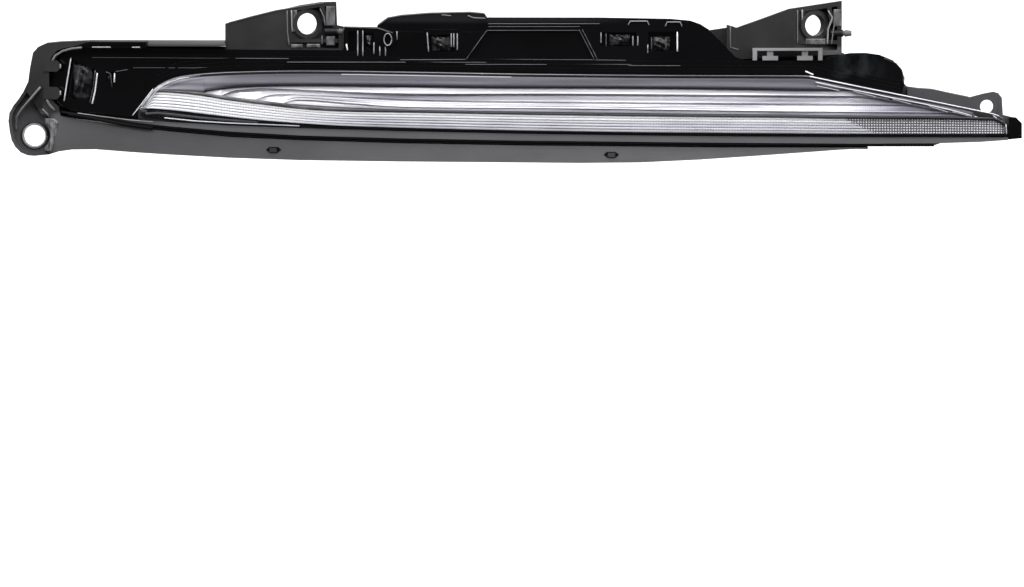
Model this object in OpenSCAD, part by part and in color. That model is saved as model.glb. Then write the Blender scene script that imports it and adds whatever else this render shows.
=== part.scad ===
// Daytime running light for a car's front bumper, seen from the front: X runs inboard along the
// lamp, -Y faces forward, +Z is up. The origin is the outer ear's screw hole, on its front seat.
// Every long piece follows one plan curve, the bow. A depth is measured back from the lens face
// along that bow, and an outline is drawn in the front view as [x, z].

/* [Body] */
// Distance from the outer ear's hole to the inner tip of the lamp
tip_x = 545.7; // [535:0.1:570]
// Distance from the outer ear's hole to the outer bracket's hole
outer_hole_x = 151.3; // [145:0.1:158]
// Height of the outer bracket's hole above the ear's hole
outer_hole_z = 61.9; // [60:0.1:64]
// Distance from the outer ear's hole to the inner bracket's hole
inner_hole_x = 431.6; // [422:0.1:441]
// Height of the inner bracket's hole above the ear's hole
inner_hole_z = 61; // [59:0.1:63]
// Radius of the plan curve at the lens face
bow_r = 1500; // [1300:10:2200]
// How far the middle of the lens stands in front of the ear's seat
lens_reach = 38; // [36:0.5:42]

/* [Carrier] */
// Wall of the carrier moulding
carrier_wall = 2.5; // [2:0.1:3]
// Depth of the apron behind the lens face
apron_depth = 5; // [4:0.1:6]
// Depth of the carrier's rear web behind the lens face
web_depth = 40; // [39.5:0.5:46]
// Depth of the bracket faces behind the lens face
bracket_depth = 24; // [22:0.5:28]
// Turn of each bracket's hole plate towards the car's middle, in degrees
bracket_turn = 14; // [8:1:18]
// Number of stiffening ribs behind the apron
apron_ribs = 8; // [6:1:16]

/* [Mounts] */
// Radius of the three large screw holes
hole_r = 5.9; // [5:0.1:6.4]
// Wall of the boss round each large screw hole
boss_wall = 2.4; // [2:0.1:3]
// Length of the outer ear's boss
ear_boss_len = 8; // [6:0.5:10]
// Length of each bracket's boss
bracket_boss_len = 7; // [6:0.5:9]
// Radius of the small hole at the inner tip
tip_hole_r = 3.7; // [3.4:0.1:4.2]
// Radius of the locating pegs beside the brackets
peg_r = 2; // [1.5:0.1:2.4]

/* [Lens and trim] */
// Wall of the clear lens
lens_wall = 2.5; // [2:0.1:3]
// Wall of the lens rim
rim_wall = 1.3; // [1:0.1:1.5]
// How far the lens rim reaches back
lens_rim = 11; // [10:0.5:12]
// How far the lens face is crowned from its middle to its edges
lens_crown = 1.6; // [0.8:0.1:2]
// Depth of the trim rail's face behind the lens face
rail_depth = 2.5; // [2:0.1:3.5]
// Thickness of the rubber seal lips below the trim rail
lip_t = 0.9; // [0.7:0.1:1.2]

/* [Bezel] */
// Wall of the gloss black bezel
bezel_wall = 2; // [1.6:0.1:2.4]
// Depth of the bezel's recessed panel behind the lens face
panel_depth = 16; // [15:0.5:18]
// Drop of each of the three steps between the panel and the lens
step_drop = 1.8; // [1.4:0.1:2]
// Depth of the clip pockets below the panel
pocket_drop = 5; // [3:0.5:6]

/* [Optics] */
// Depth of the reflector's upper ledge behind the lens face
ledge_depth = 7; // [6:0.5:9]
// Number of long flutes in the reflector
flute_count = 4; // [3:1:6]
// Step between one reflector flute and the next
flute_rise = 1.2; // [0.8:0.1:1.8]
// Wall of the reflector
reflector_wall = 1.8; // [1.4:0.1:2.2]
// Number of rib rows on the lower optic
optic_rows = 6; // [4:1:8]
// Depth of the lower optic's ribs behind the lens face
optic_depth = 5.5; // [5:0.5:7]
// Radius of the light guide rod
guide_r = 1.5; // [1:0.1:1.8]

/* [Electronics] */
// Thickness of the circuit boards
board_t = 1.6; // [1:0.1:2]
// Number of LEDs behind the lower optic
led_count = 24; // [12:1:30]
// Width of the driver module
driver_w = 92; // [80:1:100]
// Height of the driver module
driver_h = 34; // [30:1:36]
// Depth of the driver module's case
driver_d = 15; // [12:1:18]
// Number of cooling fins on the driver module
fin_count = 12; // [6:1:14]
// Width of the plug socket
socket_w = 22; // [20:0.5:24]
// Height of the plug socket
socket_h = 15; // [13:0.5:16]
// Wall of the plug socket
socket_wall = 1.8; // [1.4:0.1:2.2]

/* [Hidden] */
// Running gap between separate pieces
gap = 0.2;
// Angle of the plan curve that is drawn, wide enough for the whole lamp
bow_span = 34;
bow_fn = 127;
// How far a chord of the drawn bow lies inside the true curve
chord_sag = bow_r * (1 - cos(180 / bow_fn));
// How far the front-view outlines are extruded, past everything
front_limit = -90;
back_limit = 110;
// Steps that each stretch of an edge line is drawn in
line_steps = 1;
// The lamp's design positions and where the sizes above put them
design_x = [-20, 0, 151.3, 431.6, 545.7];
actual_x = [-20, 0, outer_hole_x, inner_hole_x, tip_x];
bow_x = tip_x / 2 - 8;
bow_y = bow_r - lens_reach;
charcoal = "#3a3a3e";
gloss_black = "#0c0c0f";
satin_grey = "#66666a";

// Front-view edge lines, as [x, z] at their bends
rail_top = lay([[14, 14.6], [22.6, 13.3], [36.5, 11.9], [54.7, 10], [75, 8.3], [91.7, 7.4], [108.3, 6.4],
    [146.9, 5.1], [202, 3.5], [268.4, 2.1], [345.7, 0.9], [456, -0.1], [534, -0.4], [545.7, -0.2]]);
rail_bottom = lay([[14, 13.2], [19.9, 12.2], [36.5, 10.4], [53, 7.9], [75, 5.6], [108.3, 2.8], [146.9, 0.7],
    [202, -0.8], [268.4, -2], [312.6, -2.5], [379, -3.3], [456, -4], [500.4, -3.9], [522.5, -3.3],
    [545.7, -1.7]]);
apron_top = lay([[4, 13], [14.4, 11], [19.9, 9.6], [36.5, 7.5], [53, 5.2], [75, 2.8], [108.3, -0.2],
    [146.9, -1.9], [202, -3.5], [268.4, -4.7], [312.6, -5.1], [379, -5.9], [456, -6.1], [497, -6.2],
    [503, -4.2], [530, -3.6]]);
apron_bottom = lay([[4, -10.4], [13.3, -8.6], [21, -7.5], [34.2, -7.3], [54, -8.8], [75, -10.1],
    [108.3, -11.8], [146.9, -13], [202, -13.7], [257.4, -14.1], [301.6, -14.5], [334.7, -14.2],
    [367.8, -12.7], [401, -10.5], [434, -8.2], [445, -7.4], [460, -6.8]]);
lens_top = lay([[54.7, 10.6], [59.1, 17.1], [62.4, 21.5], [65.2, 25.1], [68.5, 27.9], [72.4, 30.1],
    [77.9, 32.3], [83.4, 33.5], [91.7, 34.5], [108.3, 35.6], [146.9, 36.4], [202, 35.9], [268.4, 34.8],
    [345.7, 34], [412, 33.7], [427.5, 33.5], [432, 32.6], [456, 27.6], [500.4, 18.6], [522.5, 14],
    [531, 12], [535.5, 9.5], [537.4, 6], [538, 2]]);
divider = lay([[62, 25.4], [75, 25], [91.7, 23.7], [108.3, 21.2], [124.8, 19.2], [146.9, 16.6], [169, 15.2],
    [202, 14.4], [268.4, 13.1], [345.7, 12], [412, 11.3], [456, 10.6], [500.4, 10.2], [538, 9.2]]);
optic_bottom = lay([[56, 15.3], [75, 14], [91.7, 12.2], [108.3, 10.3], [124.8, 8.6], [146.9, 6.9], [169, 5.5],
    [202, 4.4], [268.4, 2.9], [312.6, 2.2], [379, 1.5], [456, 0.8], [538, 0.6]]);
// Upper edge of the bezel, from the outer bracket over the top housing and the notch to the round wing
bezel_crest = [[171.5, 60.6], [190, 60.2], [198, 57.6], [249, 57.6], [250.6, 65.6], [312.6, 65.5], [351, 64.8],
    [362.3, 63.8], [367.8, 61.9], [372.3, 59.1], [376.7, 54.7], [382.2, 49.2], [387.2, 43.9], [392.7, 41.6],
    [435.2, 41.6], [442.9, 44.2], [450.7, 45.7], [459.5, 45.8], [467.2, 44.7], [474.4, 41.7], [478.8, 37.6],
    [481, 32], [480.6, 27.6]];
bezel_left = [[105.5, 47.8], [62.4, 48.6], [42, 48.9], [25.4, 48.6], [17.7, 47.7], [13.3, 46.2], [10.5, 43.4],
    [9.2, 39], [9.2, 24], [11, 20], [14.6, 16.6], [18.5, 14.8]];

function lerp(a, b, t) = a + (b - a) * t;
// Where a design position lies with the chosen hole and tip positions
function place(x) = lookup(x, [for (i = [0 : len(design_x) - 1]) [design_x[i], actual_x[i]]]);
function lay(points) = [for (p = points) [place(p[0]), p[1]]];
function reversed(list) = [for (i = [len(list) - 1 : -1 : 0]) list[i]];
function raised(line, dz) = [for (p = line) [p[0], p[1] + dz]];

// Height of an edge line at x, on a smooth curve through its bends
function stretch_at(line, x, i = 0) = i >= len(line) - 2 || x < line[i + 1][0] ? i : stretch_at(line, x, i + 1);
function slope_at(line, i) = let (a = max(i - 1, 0), b = min(i + 1, len(line) - 1))
    (line[b][1] - line[a][1]) / (line[b][0] - line[a][0]);
function z_on(line, x) = let (i = stretch_at(line, x), w = line[i + 1][0] - line[i][0],
    t = min(max((x - line[i][0]) / w, 0), 1), s = t * t * (3 - 2 * t))
    lerp(line[i][1], line[i + 1][1], s) + w * (slope_at(line, i) * t * (1 - t) * (1 - t)
        - slope_at(line, i + 1) * t * t * (1 - t));
// The bends of a line between two positions, each stretch drawn in a few steps
function bends(line, x0, x1) = let (xs = concat([x0], [for (p = line) if (p[0] > x0 + 0.5 && p[0] < x1 - 0.5) p[0]],
    [x1])) [for (i = [0 : len(xs) - 2]) for (j = [0 : line_steps - 1]) lerp(xs[i], xs[i + 1], j / line_steps), x1];
function traced(line, x0, x1) = [for (x = bends(line, x0, x1)) [x, z_on(line, x)]];
function band(top, bottom, x0, x1) = concat(traced(top, x0, x1), reversed(traced(bottom, x0, x1)));

// An outline drawn clockwise, moved inwards by t at every corner
function unit(v) = v / norm(v);
function inward(a, b) = let (d = unit(b - a)) [d[1], -d[0]];
function inset(points, t) = let (n = len(points)) [for (i = [0 : n - 1])
    let (n1 = inward(points[(i + n - 1) % n], points[i]), n2 = inward(points[i], points[(i + 1) % n]))
    points[i] + (n1 + n2) * t / (1 + n1 * n2)];
// A strip of width t on the right-hand side of an open line
function ribbon(points, t) = let (n = len(points)) concat(points, [for (i = [n - 1 : -1 : 0])
    let (n1 = i > 0 ? inward(points[i - 1], points[i]) : inward(points[0], points[1]),
        n2 = i < n - 1 ? inward(points[i], points[i + 1]) : n1)
    points[i] + (n1 + n2) * t / (1 + n1 * n2)]);
// Front-to-back place of a depth behind the lens face, at position x
function bow_back(x, depth) = bow_y - sqrt(pow(bow_r - depth, 2) - pow(x - bow_x, 2));
function bow_angle(x) = asin((x - bow_x) / bow_r);

// Turns an outline in the front view into a prism that runs from front to back
module face_on(from = front_limit, to = back_limit)
    translate([0, to, 0]) rotate([90, 0, 0]) linear_extrude(to - from) children();

// Sweeps a section drawn as [depth, z] along the bow
module along_bow()
    translate([bow_x, bow_y, 0]) rotate([0, 0, -90 - bow_span / 2])
        rotate_extrude(angle = bow_span, $fn = bow_fn) translate([bow_r, 0]) mirror([1, 0]) children();

// A bowed plate of the outline that its children draw, between two depths
module on_bow(from, to) intersection() {
    face_on() children();
    along_bow() translate([from, -60]) square([to - from, 180]);
}

// A wall of thickness t that follows the inside of an outline, between two depths
module wall_on_bow(points, t, from, to) on_bow(from, to) difference() {
    polygon(points);
    polygon(inset(points, t));
}

// Places its children at a point of the bow, turned to face out of it
module at_bow(x, z, depth) translate([x, bow_back(x, depth), z]) rotate([0, 0, bow_angle(x)]) children();

// A cylinder from front to back, from its front end
module post(r, length, fn = 24) rotate([-90, 0, 0]) cylinder(r = r, h = length, $fn = fn);

// Outlines

lens_start = place(57.5);
lens_end = place(538);
lens_floor = raised(rail_top, -0.3);
function lens_outline() = band(lens_top, lens_floor, lens_start, lens_end);
// The lens outline drawn in by t on every side
function lens_inner(t) = band(raised(lens_top, -t), raised(lens_floor, t), lens_start + t, lens_end - t);
function bezel_top_line() = concat(reversed(lay(bezel_left)), [[place(171.5), 47.5]], lay(bezel_crest));
wing_end = place(479.5);
function bezel_outline() = concat(bezel_top_line(),
    reversed(traced(raised(lens_top, gap + 0.4), lens_start + 2, wing_end)),
    reversed(traced(raised(rail_top, gap), place(20), lens_start - 1)));

// Screw bracket that rises from the carrier's rear web. Its outline is given from the hole's centre.
outer_bracket = [[-45.8, -16], [-45.8, 0], [-25.4, 5.2], [-11.6, 8.5], [-4.4, 10.2], [6.7, 11.9], [15.5, 12.1],
    [16, -0.9], [19.5, -1.6], [19.5, -16]];
inner_bracket = [[-48.9, -19], [-48.9, 0.3], [-45.5, -0.6], [-43.6, -1.4], [-30, 3.4], [-14.6, 9], [14.7, 13.4],
    [14.7, -16]];
// Where the closed face of a bracket ends and its open hole bay begins
bay_start = -11.5;
bay_rib = 8.5;

module bracket(points, x, z) {
    placed = [for (p = points) [x + p[0], z + p[1]]];
    difference() {
        union() {
            wall_on_bow(placed, carrier_wall, bracket_depth, web_depth + carrier_wall);
            intersection() {
                on_bow(bracket_depth, bracket_depth + carrier_wall) polygon(placed);
                translate([x - 80, front_limit, z - 40])
                    cube([80 + bay_start, back_limit - front_limit, 80]);
            }
            intersection() {
                on_bow(bracket_depth, web_depth + carrier_wall) polygon(placed);
                bay_walls(x, z);
            }
            boss(x, z);
        }
        boss_hole(x, z);
        for (p = peg_places) at_peg(p) translate([0, 0, -peg_shaft - gap])
            cylinder(r = peg_r + gap, h = peg_shaft + 6, $fn = 16);
    }
}

// The upright wall beside the hole bay, the slanted rib above the boss, the shelf below and the hole plate
module bay_walls(x, z) {
    translate([x + bay_start - carrier_wall, front_limit, z - 40])
        cube([carrier_wall, back_limit - front_limit, 80]);
    translate([x + bay_rib, 0, z]) rotate([0, -12, 0]) translate([0, front_limit, 1])
        cube([carrier_wall, back_limit - front_limit, 40]);
    translate([x + bay_start, front_limit, z - hole_r - boss_wall - 2])
        cube([28, back_limit - front_limit, 2]);
    at_bow(x, z, bracket_depth + 3) rotate([0, 0, bracket_turn])
        translate([-20, 0, -40]) cube([40, carrier_wall, 80]);
}

module boss(x, z) at_bow(x, z, bracket_depth + 1) rotate([0, 0, bracket_turn])
    post(hole_r + boss_wall, bracket_boss_len);

module boss_hole(x, z) at_bow(x, z, bracket_depth + 1) rotate([0, 0, bracket_turn])
    translate([0, -30, 0]) post(hole_r, 80);

// Outer rim of the carrier: the rounded end wall with two catches that hold the bezel
rim_outer = lay([[-5, 25.4], [-3.4, 30], [-2.4, 37.6], [-0.8, 45.8], [2, 49], [6.6, 51.1], [14.4, 51.9],
    [30.9, 52.6], [105.5, 52.6]]);
rim_inner = lay([[105.5, 49.6], [25.4, 49.6], [17.3, 48.7], [12.6, 47.1], [9.6, 43.8], [8.2, 39.2], [8.2, 24],
    [10, 19.4], [13.6, 15.8]]);
rim_depth = 9;
catches = [[38.6, 3.1], [23.6, 3.4]];

module outer_rim() {
    on_bow(rim_depth, rim_depth + carrier_wall)
        polygon(concat(rim_outer, rim_inner, lay([[14.4, 11], [4, 12]])));
    on_bow(rim_depth, web_depth + carrier_wall) polygon(ribbon(rim_outer, 1.8));
    on_bow(rim_depth, rim_depth + 14) polygon(ribbon(rim_inner, 1.4));
    on_bow(rim_depth - 1, rim_depth + 4) for (c = catches)
        polygon(lay([[5, c[0] + c[1]], [12.6, c[0] + c[1]], [14.6, c[0] + c[1] - 2], [14.6, c[0] - c[1] + 2],
            [12.6, c[0] - c[1]], [5, c[0] - c[1]]]));
}

// Flat ear with the outer screw hole, its raised edge and its boss
ear_edge = [[-3.4, 30], [-6, 24.5], [-8.7, 20.3], [-11.6, 16.6], [-13.8, 12.7], [-14.4, 8.3], [-13.6, 2],
    [-12.6, -2.5], [-10.6, -6.2], [-7.6, -9.3], [-3.6, -10.9], [0, -11.2], [8, -10.4], [14.4, -8.4]];
ear_t = 3;

module outer_ear() difference() {
    union() {
        face_on(0, ear_t) polygon(concat(ear_edge, [[14.4, 12], [4, 24]]));
        face_on(-4, 18) polygon(ribbon(reversed(ear_edge), 1.8));
        post(hole_r + boss_wall, ear_boss_len);
    }
    translate([0, -30, 0]) post(hole_r, 110);
}

// Front skirt below the lamp, with its upper shelf, its turned-back lower edge and its ribs
apron_start = place(8);
apron_end = place(460);
// Where the shelf behind the skirt and its turned-back edge end
shelf_end = place(434);
stud_places = [[132.6, -7.4], [318.7, -10]];
stud_window = [8.6, 3.4];
stud_tongue = 4;

module apron() {
    difference() {
        union() {
            on_bow(apron_depth, apron_depth + carrier_wall)
                polygon(band(apron_top, apron_bottom, apron_start, apron_end));
            on_bow(apron_depth, apron_depth + 9)
                polygon(band(raised(apron_bottom, 1.6), apron_bottom, apron_start, shelf_end));
        }
        for (p = stud_places)
            face_on() polygon([for (q = [[-1, 0], [-0.55, 1], [0.55, 1], [1, 0], [0.55, -1], [-0.55, -1]])
                [place(p[0]) + q[0] * stud_window[0] / 2, p[1] + q[1] * stud_window[1] / 2]]);
    }
    on_bow(apron_depth, web_depth + carrier_wall)
        polygon(band(apron_top, raised(apron_top, -carrier_wall * 0.7), apron_start, shelf_end));
    for (i = [0 : apron_ribs - 1]) {
        x = lerp(place(36), place(430), i / (apron_ribs - 1));
        if (min([for (p = stud_places) abs(x - place(p[0]))]) > stud_window[0])
            on_bow(apron_depth, apron_depth + 20)
                polygon(band(apron_top, raised(apron_bottom, 0.4), x, x + 1.6));
    }
}

// Rear web between the shelf and the brackets, with windows for the driver and the lamp's back
driver_place = [288, 25];
window_rib = 6;
web_windows = [[24, 66, 14, 40], [76, 122, 10, 36], [192, driver_place[0] - driver_w / 2 - window_rib, 8, 44],
    [driver_place[0] + driver_w / 2 + window_rib + 2, 388, 6, 34], [410, 462, 4, 22]];
web_edge = lay([[-1, 12], [-1, 44], [4, 49], [62, 50], [105.5, 49], [171, 46], [171, 43], [197, 43], [197, 58],
    [372, 58], [382.7, 59.6], [382.7, 46], [446, 46], [480, 30], [482.6, 27], [488.2, 26.2], [496.5, 25.6],
    [505.9, 23.5], [517, 21.2], [518, 10], [530, 8]]);

module web() difference() {
    on_bow(web_depth, web_depth + carrier_wall)
        polygon(concat(web_edge, reversed(traced(apron_top, place(6), place(530)))));
    for (w = web_windows)
        face_on() polygon(lay([[w[0] + 3, w[2]], [w[0], w[2] + 3], [w[0], w[3] - 3], [w[0] + 3, w[3]],
            [w[1] - 3, w[3]], [w[1], w[3] - 3], [w[1], w[2] + 3], [w[1] - 3, w[2]]]));
    driver_window();
    at_screws() translate([0, -5, 0]) post(screw_r + gap, 20, 12);
}

module driver_window() at_bow(place(driver_place[0]), driver_place[1], web_depth)
    translate([-driver_w / 2 - 2, -20, -driver_h / 2 - 1.5]) cube([driver_w + 4, 60, driver_h + 3]);

// Tail plate behind the sloping lens edge, with the small ear at the tip and a foot for the end cap
tail_edge = lay([[482.6, 27], [488.2, 26.2], [496.5, 25.6], [505.9, 23.5], [517, 21.2]]);
tail_ear = lay([[524.7, 23.2], [530.2, 24.2], [533, 23.4], [535, 20.8], [535.6, 11.4], [543.6, 9.4], [544.4, 0],
    [531, 0], [530, 6], [524, 9.6], [500, 16.6], [482.6, 21.8]]);
tail_depth = 17;
tip_hole = [526.6, 16];
tip_boss_len = 9;

module tail() difference() {
    union() {
        on_bow(tail_depth, tail_depth + carrier_wall) polygon(concat(tail_edge, tail_ear));
        on_bow(tail_depth, web_depth + carrier_wall) polygon(ribbon(tail_edge, 1.8));
        at_tip(0) post(tip_hole_r + 2.4, tip_boss_len);
    }
    at_tip(-30) post(tip_hole_r, 110);
}
module at_tip(y) translate([place(tip_hole[0]), bow_back(place(tip_hole[0]), tail_depth) + y, tip_hole[1]])
    children();

module carrier() color(charcoal) {
    difference() {
        union() {
            outer_rim();
            apron();
            web();
        }
        translate([0, -30, 0]) post(hole_r + boss_wall + 1, 110);
    }
    outer_ear();
    bracket(outer_bracket, outer_hole_x, outer_hole_z);
    bracket(inner_bracket, inner_hole_x, inner_hole_z);
    tail();
}

// Gloss black panel round the lens, with its clip pockets, its shallow field and its stepped lip

lip_offsets = [gap + 0.4, 2.8, 5, 7.2];
step_overlap = 0.4;
bezel_back = 23;
field_drop = 1.5;
field = lay([[250.2, 58.5], [301, 58.9], [309.4, 42.6], [237.5, 42.6]]);
function pocket(x0, x1, z0, z1, lean = 0) = lay([[x0, z1], [x1, z1], [x1 + lean, z0], [x0 - lean, z0]]);
pockets = [pocket(217.2, 232.4, 46.4, 57), pocket(313.1, 332.6, 49.4, 57.4), pocket(339.1, 354.6, 46.8, 57.7),
    pocket(173.8, 178.6, 46.5, 58), pocket(182.2, 187.6, 47, 57.4), lay([[20.2, 42.7], [33.4, 36.5],
        [31.4, 19.6], [16.6, 20.6]]), pocket(40, 44.3, 29.4, 35.4)];

// Low dome over the middle, which stands up behind the bezel's crest
dome_line = lay([[189, 52], [189.6, 61], [195, 65.2], [203.2, 66.8], [218.7, 68], [240.8, 68.5], [248.6, 67.8],
    [250.6, 65], [250.6, 52]]);
dome_wall = 1.8;
module dome() {
    on_bow(bezel_back - 1, bezel_back - 1 + dome_wall) polygon(dome_line);
    on_bow(bezel_back - 1, web_depth - gap) polygon(ribbon(dome_line, dome_wall));
}

module bezel() color(gloss_black) {
    outline = bezel_outline();
    difference() {
        union() {
            on_bow(panel_depth, panel_depth + bezel_wall) polygon(outline);
            on_bow(panel_depth, panel_depth + pocket_drop + bezel_wall)
                for (p = pockets) polygon(inset(p, -bezel_wall));
            on_bow(panel_depth, panel_depth + field_drop + bezel_wall) polygon(inset(field, -bezel_wall));
        }
        on_bow(0, panel_depth + pocket_drop) for (p = pockets) polygon(p);
        on_bow(0, panel_depth + field_drop) polygon(field);
    }
    wall_on_bow(outline, 1.6, panel_depth, bezel_back);
    dome();
    for (k = [0 : 2])
        on_bow(panel_depth - (3 - k) * step_drop, panel_depth - (2 - k) * step_drop + bezel_wall)
            polygon(band(raised(lens_top, lip_offsets[k + 1] + step_overlap), raised(lens_top, lip_offsets[k]),
                lens_start + 4, wing_end - 1));
    // Ring that takes the carrier's locating eye
    at_bow(place(195.5), 53.5, panel_depth - 2.5) difference() {
        post(4.2, 3);
        translate([0, -1, 0]) post(2.4, 3);
    }
}

// Clear cover with a crowned face and a rim that reaches back
crown_rows = [-8, 4, 15, 26, 40];
function crown_at(z) = lens_crown * pow((z - 15) / 23, 2);
module crowned(outline, depth, back) intersection() {
    face_on() polygon(outline);
    along_bow() polygon(concat([for (z = crown_rows) [crown_at(z) + depth, z]],
        [[back, crown_rows[4]], [back, crown_rows[0]]]));
}
module lens() color([0.92, 0.95, 1, 0.25]) difference() {
    crowned(lens_outline(), 0, lens_rim);
    crowned(lens_inner(rim_wall), lens_wall, lens_rim + 1);
}

// Gasket between the lens rim and the housing
module lens_seal() color("#18181a") on_bow(lens_rim + gap, lens_rim + 4) difference() {
    polygon(lens_inner(gap));
    polygon(lens_inner(rim_wall));
}

// Housing behind the optics, open at the front
housing_front = lens_rim + 4 + gap;
housing_back = web_depth - gap * 2;
housing_wall = 2;
housing_top = lay([[64, 12], [66, 30], [70, 37], [80, 42], [110, 44], [360, 44], [376, 41], [392, 37], [436, 32],
    [470, 24.4], [500, 15.6], [524, 8.6], [528, 5]]);
function housing_outline() = concat(housing_top, reversed(traced(raised(apron_top, 1), place(62), place(528))));
unit_screw_places = [[132, 38], [178, 26], [366, 38], [400, 28], [484, 13]];
screw_r = 2;
connector_place = [363, 20];
vent_place = [215, 27];
driver_pad = 1.4;
seat_frame = 8;

// Raised frame that the driver module is screwed to
module driver_seat() difference() {
    translate([-driver_w / 2, 0, -driver_h / 2]) cube([driver_w, driver_pad + 1.4, driver_h]);
    translate([-driver_w / 2 + seat_frame, -1, -driver_h / 2 + seat_frame])
        cube([driver_w - 2 * seat_frame, driver_pad + 4, driver_h - 2 * seat_frame]);
}

module housing() color(charcoal) difference() {
    union() {
        difference() {
            on_bow(housing_front, housing_back) polygon(housing_outline());
            on_bow(housing_front + 2, housing_back - housing_wall) polygon(inset(housing_outline(), housing_wall));
            on_bow(housing_front - 1, housing_front + 3) polygon(lens_inner(rim_wall + 1.5));
            // The bezel's pockets and panel sit in front of the upper wall
            on_bow(housing_front - 1, bezel_back + gap) polygon(concat(lay([[60, 60]]), [[place(540), 60]],
                reversed(traced(raised(lens_top, -rim_wall - 2.5), lens_start + 6, place(535)))));
        }
        at_screws() translate([0, -11, 0]) post(screw_r + 2.4, 10.6, 16);
        at_bow(place(driver_place[0]), driver_place[1], housing_back - 1) driver_seat();
        at_bow(place(vent_place[0]), vent_place[1], housing_back - 1) post(8, 2.4, 20);
    }
    at_screws() translate([0, -9, 0]) post(screw_r + gap, 20, 12);
    driver_screw_places() translate([0, -2, 0]) post(1.5 + gap, 10, 12);
}

// Metallised reflector: an upper ledge, then long flutes that hook round its outer end one inside another
reflector_depth = 12;
flute_tips = [91, 141.4];
reflector_start = place(78);
reflector_end = place(518);
ledge_drop = 5.8;
// A line that lies the given share of the way from the ledge down to the divider
function flute_line(share, x0, dx = 0) = [for (x = bends(lens_top, x0, reflector_end - dx))
    [x, lerp(z_on(lens_top, x) - ledge_drop, z_on(divider, x), share)]];
function flute_start(k) = place(lerp(flute_tips[0], flute_tips[1], k / (flute_count - 1)));
function flute_depth(k) = reflector_depth - k * flute_rise;

module reflector() color("#d8d8e2") difference() {
    intersection() {
        face_on() polygon(band(raised(lens_top, -rim_wall - 0.4), divider, reflector_start, reflector_end));
        union() {
            on_bow(reflector_depth + 0.6, reflector_depth + 0.6 + reflector_wall)
                translate([0, -10]) square([place(540), 60]);
            on_bow(ledge_depth, reflector_depth + 1) polygon(band(raised(lens_top, 2),
                raised(lens_top, -ledge_drop), reflector_start - 1, reflector_end + 1));
            for (k = [0 : flute_count - 1])
                on_bow(flute_depth(k), reflector_depth + 1) polygon(concat(
                    flute_line(k / flute_count + 0.02, flute_start(k), -2),
                    [[reflector_end + 2, -5], [flute_start(k) + 4, -5]]));
        }
    }
    guide_rod(guide_r + 2 * gap);
}

// Lower optic: a clear bar with rows of ribs that follow the divider
optic_start = place(62);
optic_end = place(534);
rib_share = 0.72;
function optic_top_at(x) = min(z_on(divider, x) - 3 * gap, z_on(lens_top, x) - rim_wall - 0.4);
function optic_line(share) = [for (x = bends(lens_top, optic_start, optic_end))
    [x, lerp(optic_top_at(x), z_on(optic_bottom, x) + 0.5, share)]];

module pillow_optic() color("#eef1f6") {
    step = (1 - 0.12) / optic_rows;
    on_bow(optic_depth + 1.2, optic_depth + 3) polygon(concat(optic_line(0), reversed(optic_line(1))));
    for (r = [0 : optic_rows - 1])
        on_bow(optic_depth, optic_depth + 1.4) polygon(concat(optic_line(0.06 + r * step),
            reversed(optic_line(0.06 + (r + rib_share) * step))));
}

// Light guide rod that follows the bow, tilted a little to run along the ledge
guide_z = 29.3;
guide_tilt = 0.55;
guide_depth = ledge_depth + 3.6;
guide_ends = [98, 432];
module guide_rod(r) intersection() {
    translate([bow_x, 0, guide_z]) rotate([0, guide_tilt, 0]) translate([-bow_x, 0, 0])
        along_bow() translate([guide_depth, 0]) circle(r = r, $fn = 16);
    translate([place(guide_ends[0]), front_limit, 0])
        cube([place(guide_ends[1]) - place(guide_ends[0]), back_limit - front_limit, 60]);
}
module light_guide() color("#f4f6fa") guide_rod(guide_r);

// Trim rail below the lens, a channel that is open at the back
module trim_rail() color(satin_grey) {
    x0 = place(15);
    x1 = place(538);
    upper = raised(lens_floor, -gap);
    on_bow(rail_depth, rail_depth + 1.6) polygon(band(upper, rail_bottom, x0, x1));
    on_bow(rail_depth, rail_depth + 9) polygon(band(upper, raised(upper, -1.2), place(60), place(500)));
}

// Gloss black cap at the inner tip, which stands on the tail plate's foot
cap_line = lay([[538.4, 10.4], [542.6, 10], [545.7, 7], [545.7, -1.3], [538.4, -2]]);
cap_front = 2.6;
module end_cap() color(gloss_black) {
    on_bow(cap_front, cap_front + bezel_wall) polygon(cap_line);
    wall_on_bow(cap_line, 1.2, cap_front, tail_depth - gap);
}

// Rubber lips that close the gap between the trim rail and the apron
module seal_strip() color("#141416") {
    x0 = place(22);
    x1 = place(497);
    upper = raised(rail_bottom, -gap);
    lower = [for (x = bends(rail_bottom, x0, x1)) [x, min(z_on(apron_top, x) + gap + 0.3, z_on(upper, x) - lip_t)]];
    on_bow(rail_depth + 1.4, rail_depth + 2.4) polygon(concat(traced(upper, x0, x1), reversed(lower)));
    on_bow(rail_depth + 0.4, rail_depth + 1.8)
        polygon(band(upper, raised(upper, -lip_t), x0, x1));
}

// Circuit boards, LEDs and heat sink

board_depth = 20;
sink_depth = board_depth + board_t + gap;
board_x = [112, 512];
function board_band(grow, x0, x1) = band(raised(divider, -2.4 + grow), raised(optic_bottom, 1.6 - grow), x0, x1);

module drl_board() color("#1d5c3a")
    on_bow(board_depth, board_depth + board_t) polygon(board_band(0, place(board_x[0]), place(board_x[1])));

module drl_leds() color("#f2e7a0") for (i = [0 : led_count - 1]) {
    x = lerp(place(board_x[0] + 8), place(board_x[1] - 8), i / (led_count - 1));
    at_bow(x, (z_on(divider, x) + z_on(optic_bottom, x)) / 2 - 0.4, board_depth)
        translate([-1.6, -1.2, -1.6]) cube([3.2, 1.1, 3.2]);
}

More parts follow.
